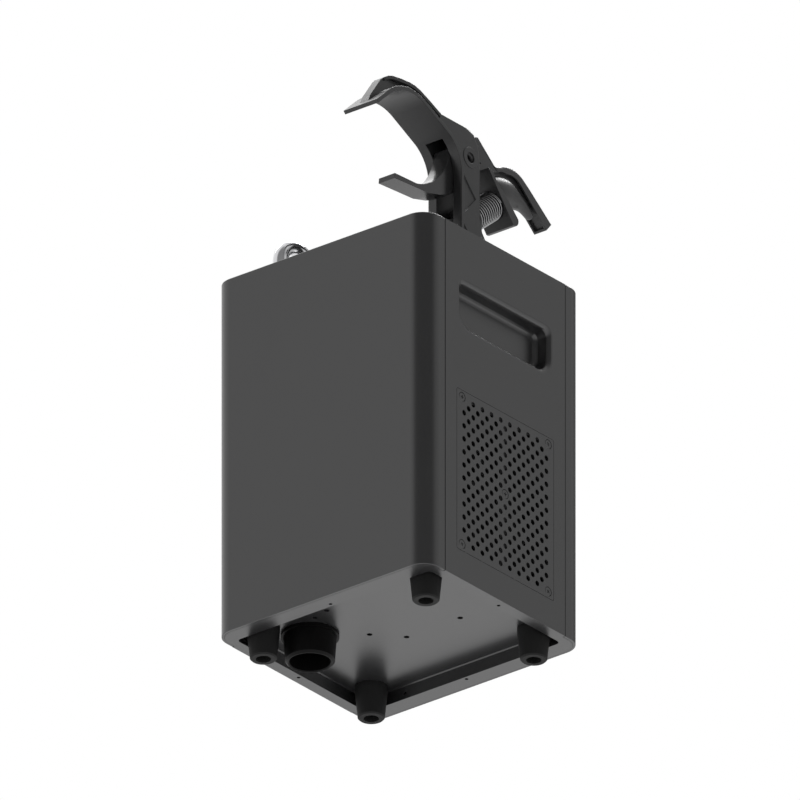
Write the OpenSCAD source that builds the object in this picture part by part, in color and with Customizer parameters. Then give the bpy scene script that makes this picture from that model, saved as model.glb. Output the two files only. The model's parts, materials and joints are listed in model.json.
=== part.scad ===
// Hanging cold spark machine: a sheet-metal housing with its nozzle underneath,
// a trigger clamp for a lighting tube and a lifting eye on top, a finger pocket and
// a vent on each side, and a control panel at the back.
// Millimetres. +Z is up and +Y points to the back. The origin is the point on the
// ground midway between the four feet.

/* [Housing] */
// Width of the housing, left to right
body_w = 181; // [176:1:200]
// Depth of the housing, front to back
body_d = 166; // [162:1:190]
// Height of the housing, from its lower rim to its top
body_h = 259.3; // [255:0.1:300]
// Radius of the four upright corners
corner_r = 14.1; // [8:0.1:16]
// Thickness of the covers and the side panels
sheet_t = 2; // [1.6:0.1:2.4]
// Distance of the upright seams from the centre
seam_y = 62.9; // [60:0.1:64]
// Width of the upright seams
seam_gap = 0.4; // [0.2:0.1:0.8]
// Width of the tabs behind the seams
tab_w = 14; // [8:1:16]
// Thickness of those tabs
tab_t = 1.5; // [1:0.1:2]

/* [Underside] */
// Depth of the recess in the underside
recess_h = 9.8; // [7:0.1:12]
// Width of the rim at the left and the right
rim_side_w = 8.5; // [7.8:0.1:11]
// Width of the rim at the front and the back
rim_end_w = 14.4; // [12.5:0.1:17]
// Corner radius of the recess
recess_r = 3.5; // [2:0.5:6]
// Thickness of the rim
rim_t = 2; // [1.5:0.1:3]
// Thickness of the wall round the recess
recess_wall = 1.2; // [1:0.1:1.4]
// Size of the sloped bead where that wall meets the bottom plate
bead = 0.7; // [0.5:0.1:0.8]
// Radius of the screw holes in the recess's back wall
wall_hole_r = 1.3; // [1:0.1:1.6]
// Height of the skirt that holds the covers
skirt_h = 12; // [8:1:20]
// Thickness of the bottom plate
bottom_t = 2; // [1.5:0.1:3]
// How far the bottom plate laps over the wall round the recess
bottom_lap = 4; // [3:0.5:4.5]
// Radius of the threaded holes in the rim
rim_hole_r = 1.25; // [1:0.05:1.25]
// Radius of the holes in the bottom plate
plate_hole_r = 1.9; // [1.5:0.1:2.5]

/* [Feet] */
// Height of a foot
foot_h = 23.2; // [20:0.1:30]
// Radius of a foot at the bottom plate
foot_r = 11; // [9.5:0.1:11.5]
// Radius of a foot at the ground
foot_tip_r = 9.05; // [8:0.05:9.4]
// Radius of the hole in a foot
foot_bore_r = 5.1; // [4.8:0.1:6]
// Depth of that hole
foot_bore_h = 14; // [10:0.5:16]
// Distance of a foot's middle from the recess's left or right wall
foot_in_x = 13.1; // [13:0.1:16]
// Distance of a foot's middle from the recess's front or back wall
foot_in_y = 12; // [12:0.1:14.5]

/* [Nozzle] */
// Distance of the nozzle from the housing's left side
nozzle_in = 39; // [37.5:0.5:42.5]
// Place of the nozzle, front to back
nozzle_y = -29.2; // [-31:0.1:-27]
// Radius of the nozzle's bore
nozzle_bore_r = 13.65; // [12:0.05:14]
// Radius of the nozzle under its flange
nozzle_r = 17.7; // [16.8:0.1:18]
// Radius of the nozzle at its mouth
nozzle_tip_r = 16.55; // [15.5:0.05:16.7]
// Radius of the nozzle's flange
nozzle_flange_r = 19.35; // [18.5:0.05:20.5]
// Height of the nozzle's mouth above the ground
nozzle_z = 2.6; // [1:0.1:8]

/* [Handle pockets] */
// Width of a finger pocket
pocket_w = 100; // [90:1:108]
// Height of a finger pocket
pocket_h = 38.6; // [34:0.1:42]
// Depth of a finger pocket
pocket_depth = 11; // [10:0.5:16]
// Corner radius at the top of a finger pocket
pocket_top_r = 7; // [6.5:0.5:10]
// Corner radius at the bottom of a finger pocket
pocket_low_r = 14; // [10:0.5:16]
// Height of the middle of the pockets above the lower rim
pocket_z = 203.3; // [195:0.1:208]
// Wall of a pocket
pocket_wall = 1.5; // [1:0.1:2]

/* [Vents] */
// Width of a vent plate
grille_w = 102; // [98:1:106]
// Height of a vent plate
grille_h = 118.6; // [114:0.1:122]
// Thickness of a vent plate
grille_t = 1.2; // [0.8:0.1:1.3]
// Gap round a vent plate
grille_gap = 0.3; // [0.2:0.1:0.5]
// Height of the middle of the vents above the lower rim
grille_z = 80.4; // [78:0.1:86]
// Distance between neighbouring rows and columns of holes
hole_pitch = 4.8; // [4.4:0.05:4.8]
// Radius of a vent hole
hole_r = 1.95; // [1.5:0.05:2.1]
// Rows of holes
hole_rows = 23; // [19:2:23]
// Columns of holes
hole_cols = 19; // [15:2:19]

/* [Trigger clamp] */
// Width of the hook's blade
blade_w = 28.4; // [26:0.1:32]
// Thickness of the hook's blade
blade_t = 2.8; // [2.4:0.1:3.4]
// Width across the two cheeks
cheek_w = 24; // [23:0.1:25]
// Width of the slot between the cheeks
slot_w = 14.2; // [13.6:0.1:15]
// Width of the rib on the hook
rib_w = 7.3; // [5:0.1:9]
// Thickness of the clamp's foot
clamp_foot_t = 12; // [9:0.5:15]
// Radius of the mounting bolt
bolt_r = 6; // [5:0.5:6]
// Play of each moving part beside the cheeks
side_play = 0.3; // [0.2:0.05:0.5]
// Radius of the jaw's pin
jaw_pin_r = 3; // [2.5:0.1:3.4]
// Radius of the lever's pin
lever_pin_r = 2; // [1.6:0.1:2.4]
// Running clearance round a pin
pin_play = 0.05; // [0.03:0.01:0.08]
// Width of the lever's handle
handle_w = 10.5; // [8:0.1:13]
// Width of the web under the handle's bend
web_w = 5; // [3:0.1:8]
// Width of the lever's spring plate
seat_w = 23.2; // [22.6:0.1:25]
// Depth of the cup for the spring in that plate
cup_d = 1.5; // [1:0.1:2]
// Depth of the channel under the handle
channel_d = 2.2; // [1.5:0.1:3]
// Rim beside that channel
channel_rim = 1.3; // [1:0.1:2]

/* [Spring] */
// Outer radius of the spring
spring_r = 10.2; // [9:0.1:10.4]
// Radius of the spring's wire
wire_r = 0.55; // [0.5:0.05:0.7]
// Number of curls
curls = 12; // [9:1:13]

/* [Lifting eye] */
// Distance of the lifting eye from the housing's left side
eye_in = 25.5; // [20.5:0.5:28.5]
// Place of the lifting eye, front to back
eye_y = -26.8; // [-30:0.1:-25]
// Radius of the ring, to the middle of its bar
eye_ring_r = 17; // [16.5:0.5:18]
// Radius of the ring's bar
eye_bar_r = 5; // [4:0.5:5.5]
// Radius of the eye's thread
eye_stud_r = 5; // [4:0.5:5]

/* [Filler] */
// Distance of the filler and the hopper from the housing's right side
hopper_in = 52.5; // [50.5:0.5:54.5]
// Place of the filler and the hopper, front to back
hopper_y = -40; // [-42:0.5:-39]
// Bore of the filler's neck
neck_bore_r = 12.5; // [11:0.5:13]
// Outer radius of the filler's neck
neck_r = 15; // [14.2:0.1:15.4]
// Outer radius of the screw cap
cap_r = 18.5; // [17.8:0.1:19.5]
// Height of the screw cap
cap_h = 12; // [10:0.5:15]

/* [Control panel] */
// Width of the opening for the control panel
panel_w = 116; // [114:1:120]
// Height of the opening for the control panel
panel_h = 108; // [106:1:112]
// Height of the middle of the control panel above the lower rim
panel_z = 174.6; // [172:0.1:178]
// Thickness of the control panel
panel_t = 2; // [1.5:0.1:2.5]
// Radius of a push button
button_r = 5; // [4:0.1:5.5]
// Travel of a push button
button_travel = 1.2; // [0.8:0.1:1.4]
// Gap round a push button
button_gap = 0.3; // [0.2:0.05:0.4]

/* [Inside] */
// Bore of the feed tube
feed_bore_r = 8; // [7:0.5:9]
// Clearance between the feed screw and its tube
feed_gap = 0.6; // [0.4:0.1:1]
// Height of the feed tube above the lower rim
feed_z = 144.6; // [143:0.1:146]
// Place of the blower, front to back
blower_y = 28; // [24:0.5:28.5]
// Width and height of the cooling fan
fan_w = 92; // [91:0.5:92]
// Depth of the cooling fan
fan_t = 25; // [20:1:26]
// Clearance round the fan's blades
fan_gap = 0.8; // [0.5:0.1:1.5]

/* [Hidden] */

powder = [0.29, 0.29, 0.29];
black = [0.09, 0.09, 0.09];
rubber = [0.12, 0.12, 0.12];
steel = [0.72, 0.72, 0.74];
cast = [0.2, 0.2, 0.2];
board = [0.08, 0.3, 0.16];

eps = 0.01;
fit = 0.1;
fine = 64;

rim_z = foot_h - recess_h;
top_z = rim_z + body_h;
plate_z = foot_h;
floor_z = plate_z + bottom_t;
side_x = body_w / 2;
back_y = body_d / 2;
recess_w = body_w - 2 * rim_side_w;
recess_d = body_d - 2 * rim_end_w;
foot_span_x = recess_w - 2 * foot_in_x;
foot_span_y = recess_d - 2 * foot_in_y;
nozzle_x = nozzle_in - side_x;
eye_x = eye_in - side_x;
hopper_x = side_x - hopper_in;
in_w = body_w - 2 * sheet_t;
in_d = body_d - 2 * sheet_t;
in_r = corner_r - sheet_t;
roof_t = 2;
roof_z = top_z - roof_t;
lip_h = 12;
lip_t = 1.5;

// A rectangle with true round corners, centred.
module rrect(w, d, r) {
  square([w - 2 * r, d], center = true);
  square([w, d - 2 * r], center = true);
  for (sx = [-1, 1], sy = [-1, 1])
    translate([sx * (w / 2 - r), sy * (d / 2 - r)]) circle(r = r, $fn = fine);
}

// Children drawn in Y and Z, extruded by t towards +X from x.
module side(x, t) {
  translate([x, 0, 0]) rotate([90, 0, 90]) linear_extrude(height = t) children();
}

// Children drawn in X and Z, extruded by t towards -Y from y.
module face(y, t) {
  translate([0, y, 0]) rotate([90, 0, 0]) linear_extrude(height = t) children();
}

// A cylinder along X, from x, of length h.
module rod_x(x, y, z, r, h) {
  translate([x, y, z]) rotate([0, 90, 0]) cylinder(r = r, h = h, $fn = fine);
}

// A cylinder towards -Y, from y, of length h.
module rod_y(x, y, z, r, h) {
  translate([x, y, z]) rotate([90, 0, 0]) cylinder(r = r, h = h, $fn = fine);
}

// Points of an arc about c, with n steps.
function arc(c, r, a0, a1, n) =
  [for (i = [0 : n]) let(a = a0 + (a1 - a0) * i / n) c + r * [cos(a), sin(a)]];

// A closed solid through equal rings of points, capped at both ends.
module loft(rings) {
  n = len(rings[0]);
  m = len(rings);
  polyhedron(
    points = [for (ring = rings) for (p = ring) p],
    faces = concat(
      [for (j = [0 : m - 2], i = [0 : n - 1]) [j * n + i, j * n + (i + 1) % n, (j + 1) * n + i]],
      [for (j = [0 : m - 2], i = [0 : n - 1])
        [j * n + (i + 1) % n, (j + 1) * n + (i + 1) % n, (j + 1) * n + i]],
      [[for (i = [n - 1 : -1 : 0]) i], [for (i = [0 : n - 1]) (m - 1) * n + i]]),
    convexity = 6);
}

// Covers

module cover_shell() {
  difference() {
    rrect(body_w, body_d, corner_r);
    rrect(in_w, in_d, in_r);
  }
}

// Front half; the back cover is its mirror image with an opening.
module cover_half() {
  edge_y = seam_y + seam_gap / 2;
  translate([0, 0, rim_z]) linear_extrude(height = body_h) intersection() {
    cover_shell();
    translate([-body_w, -body_d - edge_y]) square([2 * body_w, body_d]);
  }
  tab_z = rim_z + skirt_h + 4;
  tab_top = roof_z - lip_h - 4;
  for (sx = [-1, 1])
    translate([sx * (side_x - sheet_t - tab_t / 2) - tab_t / 2, -seam_y - tab_w / 2, tab_z])
      cube([tab_t, tab_w, tab_top - tab_z]);
}

module front_cover() {
  color(powder) cover_half();
}

module rear_cover() {
  color(powder) difference() {
    mirror([0, 1, 0]) cover_half();
    face(back_y + 1, sheet_t + 2) translate([0, rim_z + panel_z]) rrect(panel_w, panel_h, panel_r);
  }
}

// Side panels, with a stepped opening for the vent plate

vent_ledge = 6;
vent_strap = 8;
vent_r = 1.5;
head_sink = 0.9;
vent_screw_y = grille_w / 2 - 5.8;
vent_screw_z = grille_h / 2 - 5.05;
screw_r = 1.5;
screw_head_r = 3.3;
pocket_flange = 4;
panel_edge = seam_y - seam_gap / 2;
vent_mid_z = rim_z + grille_z;
pocket_mid_z = rim_z + pocket_z;
vent_screws = [for (sy = [-1, 1], sz = [-1, 1]) [sy * vent_screw_y, sz * vent_screw_z]];
vent_points = concat(vent_screws, [[0, 0]]);

// Outline of a pocket drawn in by inset, with tight corners above and wide ones below.
function pocket_shape(inset, ease = 1) =
  let(
    w = pocket_w / 2 - inset,
    h = pocket_h / 2 - inset,
    t = max(pocket_top_r - inset * ease, 2.5),
    b = max(pocket_low_r - inset * ease, 2.5),
    corners = [
      [[w - t, h - t], t, 0], [[t - w, h - t], t, 90],
      [[b - w, b - h], b, 180], [[w - b, b - h], b, 270]])
  [for (k = corners) for (p = arc(k[0], k[1], k[2], k[2] + 90, 8)) p + [0, pocket_mid_z]];

module pocket_outline(grow) {
  polygon(pocket_shape(-grow));
}

module vent_window() {
  translate([0, vent_mid_z]) difference() {
    square([grille_w - 2 * vent_ledge, grille_h - 2 * vent_ledge], center = true);
    square([vent_strap, grille_h], center = true);
    for (p = vent_screws) translate(p) circle(r = vent_ledge, $fn = fine);
  }
}

module right_panel_solid() {
  difference() {
    side(side_x - sheet_t, sheet_t) difference() {
      translate([-panel_edge, rim_z]) square([2 * panel_edge, body_h]);
      pocket_outline(0);
      vent_window();
      for (p = vent_points) translate(p + [0, vent_mid_z]) circle(r = screw_r + fit, $fn = 24);
    }
    side(side_x - grille_t, sheet_t) translate([0, vent_mid_z])
      rrect(grille_w, grille_h, vent_r);
  }
}

module right_side_panel() {
  color(powder) right_panel_solid();
}

module left_side_panel() {
  color(powder) mirror([1, 0, 0]) right_panel_solid();
}

// Staggered holes: the outer rows stop short of the screws, and one hole makes room
// for the screw in the middle.
function hole_shown(c, r) =
  (c + r) % 2 == 0
  && !((r == 0 || r == hole_rows - 1) && (c == 0 || c == hole_cols - 1))
  && !(c == (hole_cols - 1) / 2 && r == (hole_rows - 1) / 2);

module vent_solid() {
  plate_w = grille_w - 2 * grille_gap;
  plate_h = grille_h - 2 * grille_gap;
  difference() {
    translate([0, 0, vent_mid_z]) side(side_x - grille_t, grille_t) difference() {
      rrect(plate_w, plate_h, vent_r - grille_gap);
      for (c = [0 : hole_cols - 1], r = [0 : hole_rows - 1])
        if (hole_shown(c, r))
          translate([(c - (hole_cols - 1) / 2) * hole_pitch, (r - (hole_rows - 1) / 2) * hole_pitch])
            circle(r = hole_r, $fn = 16);
      for (p = vent_points) translate(p) circle(r = screw_r + fit, $fn = 24);
    }
    for (p = vent_points)
      rod_x(side_x - head_sink, p[0], p[1] + vent_mid_z, screw_head_r + fit, 2);
  }
}

module right_vent_grille() {
  color(powder) vent_solid();
}

module left_vent_grille() {
  color(powder) mirror([1, 0, 0]) vent_solid();
}

// Flush heads in the vent plates, each with a slot and a shank into the panel.
module grille_screws() {
  head_h = head_sink - 0.05;
  for (m = [0, 1]) mirror([m, 0, 0]) for (p = vent_points) color(black) difference() {
    union() {
      rod_x(side_x - head_sink, p[0], p[1] + vent_mid_z, screw_head_r, head_h);
      rod_x(side_x - sheet_t, p[0], p[1] + vent_mid_z, screw_r, sheet_t - head_sink / 2);
    }
    for (slot = [[1.7, 0.35], [0.35, 1.7]])
      translate([side_x - 0.6, p[0] - slot[0], p[1] + vent_mid_z - slot[1]])
        cube([2, 2 * slot[0], 2 * slot[1]]);
  }
}

// Finger pockets: a moulded cup with a rolled lip and a soft inner corner

pocket_lip = 4;
pocket_floor_r = 3.5;
pocket_draft = 0.8;
pocket_land = 0.5;

// Ring of points of the pocket's mouth, drawn in by inset and set back by depth.
function pocket_ring(inset, depth) =
  [for (p = pocket_shape(inset, 0.55)) [side_x - depth, p[0], p[1]]];

function pocket_sections() = concat(
  [pocket_ring(pocket_land, -1)],
  [for (a = [0 : 18 : 90])
    pocket_ring(pocket_land + (pocket_lip - pocket_land) * sin(a), pocket_lip * (1 - cos(a)))],
  [for (a = [0 : 22.5 : 90]) pocket_ring(
    pocket_lip + pocket_draft + pocket_floor_r * (1 - cos(a)),
    pocket_depth - pocket_floor_r * (1 - sin(a)))]);

module pocket_solid() {
  depth = pocket_depth + pocket_wall;
  difference() {
    union() {
      side(side_x - sheet_t, sheet_t) pocket_outline(0);
      side(side_x - sheet_t - pocket_wall, pocket_wall) pocket_outline(pocket_flange);
      side(side_x - depth, depth - sheet_t) pocket_outline(pocket_wall - pocket_lip);
    }
    loft(pocket_sections());
  }
}

module right_handle_pocket() {
  color(powder) pocket_solid();
}

module left_handle_pocket() {
  color(powder) mirror([1, 0, 0]) pocket_solid();
}

// Top plate with a folded lip

module top_plate() {
  color(powder) {
    difference() {
      translate([0, 0, roof_z]) linear_extrude(height = roof_t) rrect(in_w, in_d, in_r);
      translate([0, 0, roof_z - 1]) {
        cylinder(r = bolt_r + fit, h = roof_t + 2, $fn = fine);
        translate([eye_x, eye_y, 0]) cylinder(r = eye_stud_r + fit, h = roof_t + 2, $fn = fine);
        translate([hopper_x, hopper_y, 0]) cylinder(r = neck_r + fit, h = roof_t + 2, $fn = fine);
      }
    }
    translate([0, 0, roof_z - lip_h]) linear_extrude(height = lip_h + eps) difference() {
      rrect(in_w, in_d, in_r);
      rrect(in_w - 2 * lip_t, in_d - 2 * lip_t, in_r - lip_t);
    }
  }
}

// Underside

rim_hole_x = recess_w / 2 + 2.8;
rim_hole_y = recess_d / 2 + 2.8;
rim_holes = [[rim_hole_x, 0], [-rim_hole_x, 0], [0, rim_hole_y], [0, -rim_hole_y]];

wall_hole_x = 50;

// Ring of points of the recess's wall, drawn in by inset, at height z.
function recess_ring(inset, z) =
  let(w = recess_w / 2 - inset - recess_r, d = recess_d / 2 - inset - recess_r)
  [for (k = [[w, d, 0], [-w, d, 90], [-w, -d, 180], [w, -d, 270]])
    for (p = arc([k[0], k[1]], recess_r, k[2], k[2] + 90, 8)) [p[0], p[1], z]];

module bottom_frame() {
  wall_h = plate_z - rim_z;
  color(powder) {
    difference() {
      union() {
        translate([0, 0, rim_z]) linear_extrude(height = rim_t) difference() {
          rrect(in_w, in_d, in_r);
          for (p = rim_holes) translate(p) circle(r = rim_hole_r, $fn = 24);
        }
        translate([0, 0, rim_z + rim_t - eps]) linear_extrude(height = wall_h - rim_t + eps)
          rrect(recess_w + 2 * recess_wall, recess_d + 2 * recess_wall, recess_r + recess_wall);
      }
      loft([
        recess_ring(bead, plate_z + 1), recess_ring(bead, plate_z), recess_ring(0, plate_z - bead),
        recess_ring(0, rim_z - 1)]);
      for (sx = [-1, 1])
        rod_y(sx * wall_hole_x, recess_d / 2 + 5, rim_z + 3.8, wall_hole_r, 8);
    }
    translate([0, 0, rim_z + rim_t - eps]) linear_extrude(height = skirt_h) difference() {
      rrect(in_w, in_d, in_r);
      rrect(in_w - 2 * lip_t, in_d - 2 * lip_t, in_r - lip_t);
    }
  }
}

foot_places = [for (sy = [-1, 1], sx = [-1, 1]) [sx * foot_span_x / 2, sy * foot_span_y / 2]];
foot_screw_r = 2.5;
insert_r = 4.6;
insert_h = 7;
// Small holes for trims and drains, as seen from below.
plate_holes = [[-20.7, -4.8], [-4, 13.4], [41.3, 13.6], [-20.6, -50.1], [-33.4, -46.7]];

module bottom_plate() {
  color(powder) difference() {
    union() {
      translate([0, 0, plate_z]) linear_extrude(height = bottom_t)
        rrect(recess_w + 2 * bottom_lap, recess_d + 2 * bottom_lap, recess_r + bottom_lap);
      for (p = foot_places) translate([p[0], p[1], floor_z - eps])
        cylinder(r = insert_r, h = insert_h, $fn = fine);
    }
    translate([0, 0, plate_z - 1]) {
      for (p = foot_places) translate(p) cylinder(r = foot_screw_r + fit, h = insert_h + 4, $fn = 32);
      for (p = plate_holes) translate(p) cylinder(r = plate_hole_r, h = bottom_t + 2, $fn = 24);
      translate([nozzle_x, nozzle_y, 0]) cylinder(r = spigot_r + fit, h = bottom_t + 2, $fn = fine);
    }
  }
}

// One tapered rubber foot, hollow from below, with a rounded lower edge.
module foot(p) {
  edge = 0.9;
  color(rubber) translate(p) rotate_extrude($fn = fine) polygon([
    [foot_screw_r + fit, foot_bore_h], [foot_bore_r, foot_bore_h], [foot_bore_r, 0],
    [foot_tip_r - edge, 0], [foot_tip_r, edge], [foot_r, foot_h - 3], [foot_r, foot_h],
    [foot_screw_r + fit, foot_h]]);
}

module foot_front_left() { foot(foot_places[0]); }
module foot_front_right() { foot(foot_places[1]); }
module foot_rear_left() { foot(foot_places[2]); }
module foot_rear_right() { foot(foot_places[3]); }

module foot_screws() {
  head_h = 3.5;
  color(steel) for (p = foot_places) translate([p[0], p[1], foot_bore_h - head_h]) difference() {
    union() {
      cylinder(r = foot_bore_r - 0.6, h = head_h, $fn = 32);
      cylinder(r = foot_screw_r, h = floor_z + insert_h - foot_bore_h + head_h - 1, $fn = 32);
    }
    translate([0, 0, -eps]) cylinder(r = 2, h = 2, $fn = 6);
  }
}

// Nozzle: flange against the bottom plate and a spigot through it

spigot_r = nozzle_bore_r + 1.4;
spigot_h = 4.5;
flange_t = 2.2;

module nozzle() {
  lip = 0.8;
  z0 = plate_z - flange_t;
  top = floor_z + spigot_h;
  color(black) translate([nozzle_x, nozzle_y, 0]) rotate_extrude($fn = 96) polygon([
    [nozzle_bore_r, nozzle_z + lip], [nozzle_bore_r + lip, nozzle_z], [nozzle_tip_r - 1.6, nozzle_z],
    [nozzle_tip_r, nozzle_z + 1.6], [nozzle_r, z0], [nozzle_flange_r, z0],
    [nozzle_flange_r, plate_z], [spigot_r, plate_z], [spigot_r, top], [nozzle_bore_r, top]]);
}

// Lifting eye and its nut under the top plate

eye_collar_r = 12.5;
eye_collar_h = 3.4;
eye_z = top_z + 22.5;
eye_nut_h = 8;

module safety_eye() {
  color(steel) translate([eye_x, eye_y, 0]) difference() {
    union() {
      translate([0, 0, eye_z]) rotate([0, 90, 0]) rotate_extrude($fn = 96)
        translate([eye_ring_r, 0]) circle(r = eye_bar_r, $fn = 48);
      translate([0, 0, top_z]) cylinder(r = eye_collar_r, h = eye_collar_h, $fn = fine);
      translate([0, 0, top_z + eye_collar_h - eps])
        cylinder(r1 = eye_collar_r, r2 = 7, h = 3.5, $fn = fine);
      translate([0, 0, roof_z - eye_nut_h - 3]) cylinder(r = eye_stud_r, h = eye_nut_h + 6, $fn = fine);
    }
    translate([0, 0, eye_z]) rotate([0, 90, 0])
      cylinder(r = eye_ring_r - eye_bar_r + 0.5, h = 40, center = true, $fn = 96);
  }
}

module eye_nut() {
  color(steel) translate([eye_x, eye_y, roof_z - eye_nut_h]) difference() {
    cylinder(r = 9.2, h = eye_nut_h, $fn = 6);
    translate([0, 0, -1]) cylinder(r = eye_stud_r + 0.05, h = eye_nut_h + 2, $fn = 32);
  }
}

// Trigger clamp. Outlines are drawn in Y and Z above the housing's top: the hook's
// inner line runs from the lip over a round crown, down a slope and round a bend
// into the upright back.

crown_r = 33;
crown = [-3.3, 106.3];
bend_r = 26.4;
bend = [22.3, 101.4];
slope_a = 64.6;
lip_a = 133;
lip_len = 17.5;
back_inner_y = bend[0] + bend_r;
cheek_back_y = 72;
jaw_pivot = [60.7, 117];
lever_pivot = [64.5, 129.5];

// The blade's line at a distance d behind the tube side, from the lip to the foot.
function blade_line(d) = concat(
  [crown + (crown_r + d) * [cos(lip_a), sin(lip_a)] - lip_len * [cos(lip_a - 90), sin(lip_a - 90)]],
  arc(crown, crown_r + d, lip_a, slope_a, 14),
  arc(bend, bend_r + d, slope_a, 0, 12),
  [[back_inner_y + d, 0]]);

function backwards(list) = [for (i = [len(list) - 1 : -1 : 0]) list[i]];

// Outer edge of the hook and the cheeks, from the nose to the foot's heel.
nose = [[-37.2, 122.8], [-34.2, 129.3], [-25.9, 141.2], [-23.2, 145]];
crest = [[-20, 147.8], [-17, 149.7], [-13.5, 150.8], [-6, 151.3], [2, 151.2], [6.5, 150.5],
  [11.5, 148.6], [19, 144.4], [30.3, 137.5]];
cheek_top = [[60.5, 137.3], [65.5, 135.4], [68.5, 131.2], [70.9, 125], [cheek_back_y, 116]];
cheek_heel = [[cheek_back_y, 76], [74, 68], [78.5, 62], [82, 50], [82, 0]];
outer_edge = concat(nose, crest, cheek_top, cheek_heel);

module clamp_side(w) {
  translate([-w / 2, 0, top_z]) rotate([90, 0, 90]) linear_extrude(height = w) children();
}

// Children are cut to the band between two distances from the middle plane.
module on_cheeks(inner_w, outer_w) {
  for (sx = [-1, 1])
    translate([sx * (inner_w + outer_w) / 4 - (outer_w - inner_w) / 4, 0, top_z])
      rotate([90, 0, 90]) linear_extrude(height = (outer_w - inner_w) / 2) children();
}

module hook_area() {
  polygon(concat(blade_line(blade_t / 2), backwards(outer_edge)));
}

// Flange along the hook's crest, as deep as t.
module crest_band(t) {
  polygon(concat(crest, backwards([for (p = crest) p - [0, t]])));
}

clamp_cavity = [
  [back_inner_y + 2, -1], [back_inner_y + 2, 100], [45, 116], [38, 122], [36, 128],
  [44, 134.3], [61, 134.3], [64, 133.9], [90, 133.9], [90, -1]];
slot_top = 123.6;
slot_bottom = 30;
spine = [60, 7.8];
spine_h = 72;
seat_a = 39.4;
seat_mid = [72.6, 79.2];
seat_pad_r = 11.3;
cheek_notch = [[54.2, 102], [66.2, 88.5], [53.9, 74]];
notch_step = 36;
notch_d = 0.8;
boss_r = 7.5;
boss_h = 0.35;
pin_recess = 2.4;
spigot_pad = [7, 9];
pin_head_r = 3.7;
foot_front = -17;

// Children stand on the spring's pad, with +Z along the spring.
module on_seat() {
  translate([0, seat_mid[0], top_z + seat_mid[1]]) rotate([seat_a - 90, 0, 0]) children();
}

module clamp_body() {
  color(cast) difference() {
    union() {
      // hook: blade, rib and crest
      clamp_side(blade_w) polygon(concat(blade_line(0), backwards(blade_line(blade_t))));
      clamp_side(rib_w) intersection() {
        hook_area();
        translate([-60, 0]) square([98, 200]);
      }
      intersection() {
        clamp_side(cheek_w) crest_band(2.6);
        translate([0, 0, top_z]) linear_extrude(height = 200) polygon([
          [-rib_w / 2, -30], [rib_w / 2, -30], [cheek_w / 2, 30.3], [-cheek_w / 2, 30.3]]);
      }
      // cheeks, with the roof between them
      clamp_side(cheek_w) difference() {
        intersection() {
          hook_area();
          translate([29, 0]) square([60, 200]);
        }
        translate([29, 0]) square([9, 131]);
      }
      on_cheeks(slot_w, cheek_w) intersection() {
        hook_area();
        translate([22, 0]) square([60, 134]);
      }
      for (sx = [-1, 1])
        rod_x(sx * cheek_w / 2 + (sx < 0 ? -boss_h : -1), jaw_pivot[0], top_z + jaw_pivot[1],
          boss_r, boss_h + 1);
      // foot, and the raised edge round its bolt
      translate([-blade_w / 2, foot_front + 8, top_z]) cube([blade_w, 82 - foot_front - 8, clamp_foot_t]);
      translate([0, 0, top_z]) cylinder(r = blade_w / 2, h = clamp_foot_t, $fn = fine);
      on_cheeks(slot_w, cheek_w) polygon([[13, 0], [13, clamp_foot_t], [22, clamp_foot_t + 4],
        [36, 30], [back_inner_y + 1, 58], [back_inner_y + 1, 0]]);
    }
    // room for the jaw and the lever, open to the back above the seat
    clamp_side(slot_w) polygon(clamp_cavity);
    clamp_side(slot_w) polygon([
      [30, slot_top - 5], [37.5, slot_top], [60, slot_top], [60, slot_bottom], [30, slot_bottom]]);
    translate([0, 0, top_z - 1]) cylinder(r = bolt_r + 0.2, h = clamp_foot_t + 2, $fn = fine);
    // shallow notches on the outer faces
    for (sx = [-1, 1], k = [0, 1])
      translate([sx * (cheek_w / 2 - notch_d / 2) - notch_d / 2 - (sx < 0 ? 1 : 0), 0, top_z])
        rotate([90, 0, 90]) linear_extrude(height = notch_d + 1)
          translate([0, -k * notch_step]) polygon(cheek_notch);
    rod_x(-cheek_w, jaw_pivot[0], top_z + jaw_pivot[1], jaw_pin_r + pin_play / 2, 2 * cheek_w);
    for (sx = [-1, 1])
      rod_x(sx > 0 ? pin_end : -pin_end - 10, jaw_pivot[0], top_z + jaw_pivot[1], pin_head_r, 10);
    rod_x(-cheek_w, lever_pivot[0], top_z + lever_pivot[1], lever_pin_r + pin_play / 2,
      1.5 * cheek_w - 2);
    // room for the spring between the cheeks' back edges
    on_seat() cylinder(r = spring_r + 0.5, h = 16, $fn = fine);
  }
  // spine between the cheeks and the pad that carries the spring
  color(cast) translate([0, 0, top_z]) difference() {
    union() {
      translate([0, spine[0], 0]) cylinder(r = spine[1], h = spine_h, $fn = fine);
      translate([-cheek_w / 2, 55, 0]) cube([cheek_w, 22, clamp_foot_t + 6]);
      translate([0, seat_mid[0], seat_mid[1]]) rotate([seat_a - 90, 0, 0]) translate([0, 0, -7]) {
        cylinder(r = seat_pad_r, h = 7, $fn = fine);
        cylinder(r = spigot_pad[0], h = 7 + spigot_pad[1], $fn = fine);
      }
    }
    translate([-20, 0, -1]) cube([40, back_inner_y + 2, 200]);
  }
}

pin_end = cheek_w / 2 - pin_recess;

// Pin with a hex socket at each end.
module jaw_pin() {
  color(steel) difference() {
    rod_x(-pin_end, jaw_pivot[0], top_z + jaw_pivot[1], jaw_pin_r, 2 * pin_end);
    for (x = [-pin_end - 1, pin_end - 4])
      translate([x, jaw_pivot[0], top_z + jaw_pivot[1]]) rotate([0, 90, 0])
        cylinder(r = jaw_pin_r * 0.7, h = 5, $fn = 6);
  }
}

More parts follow.
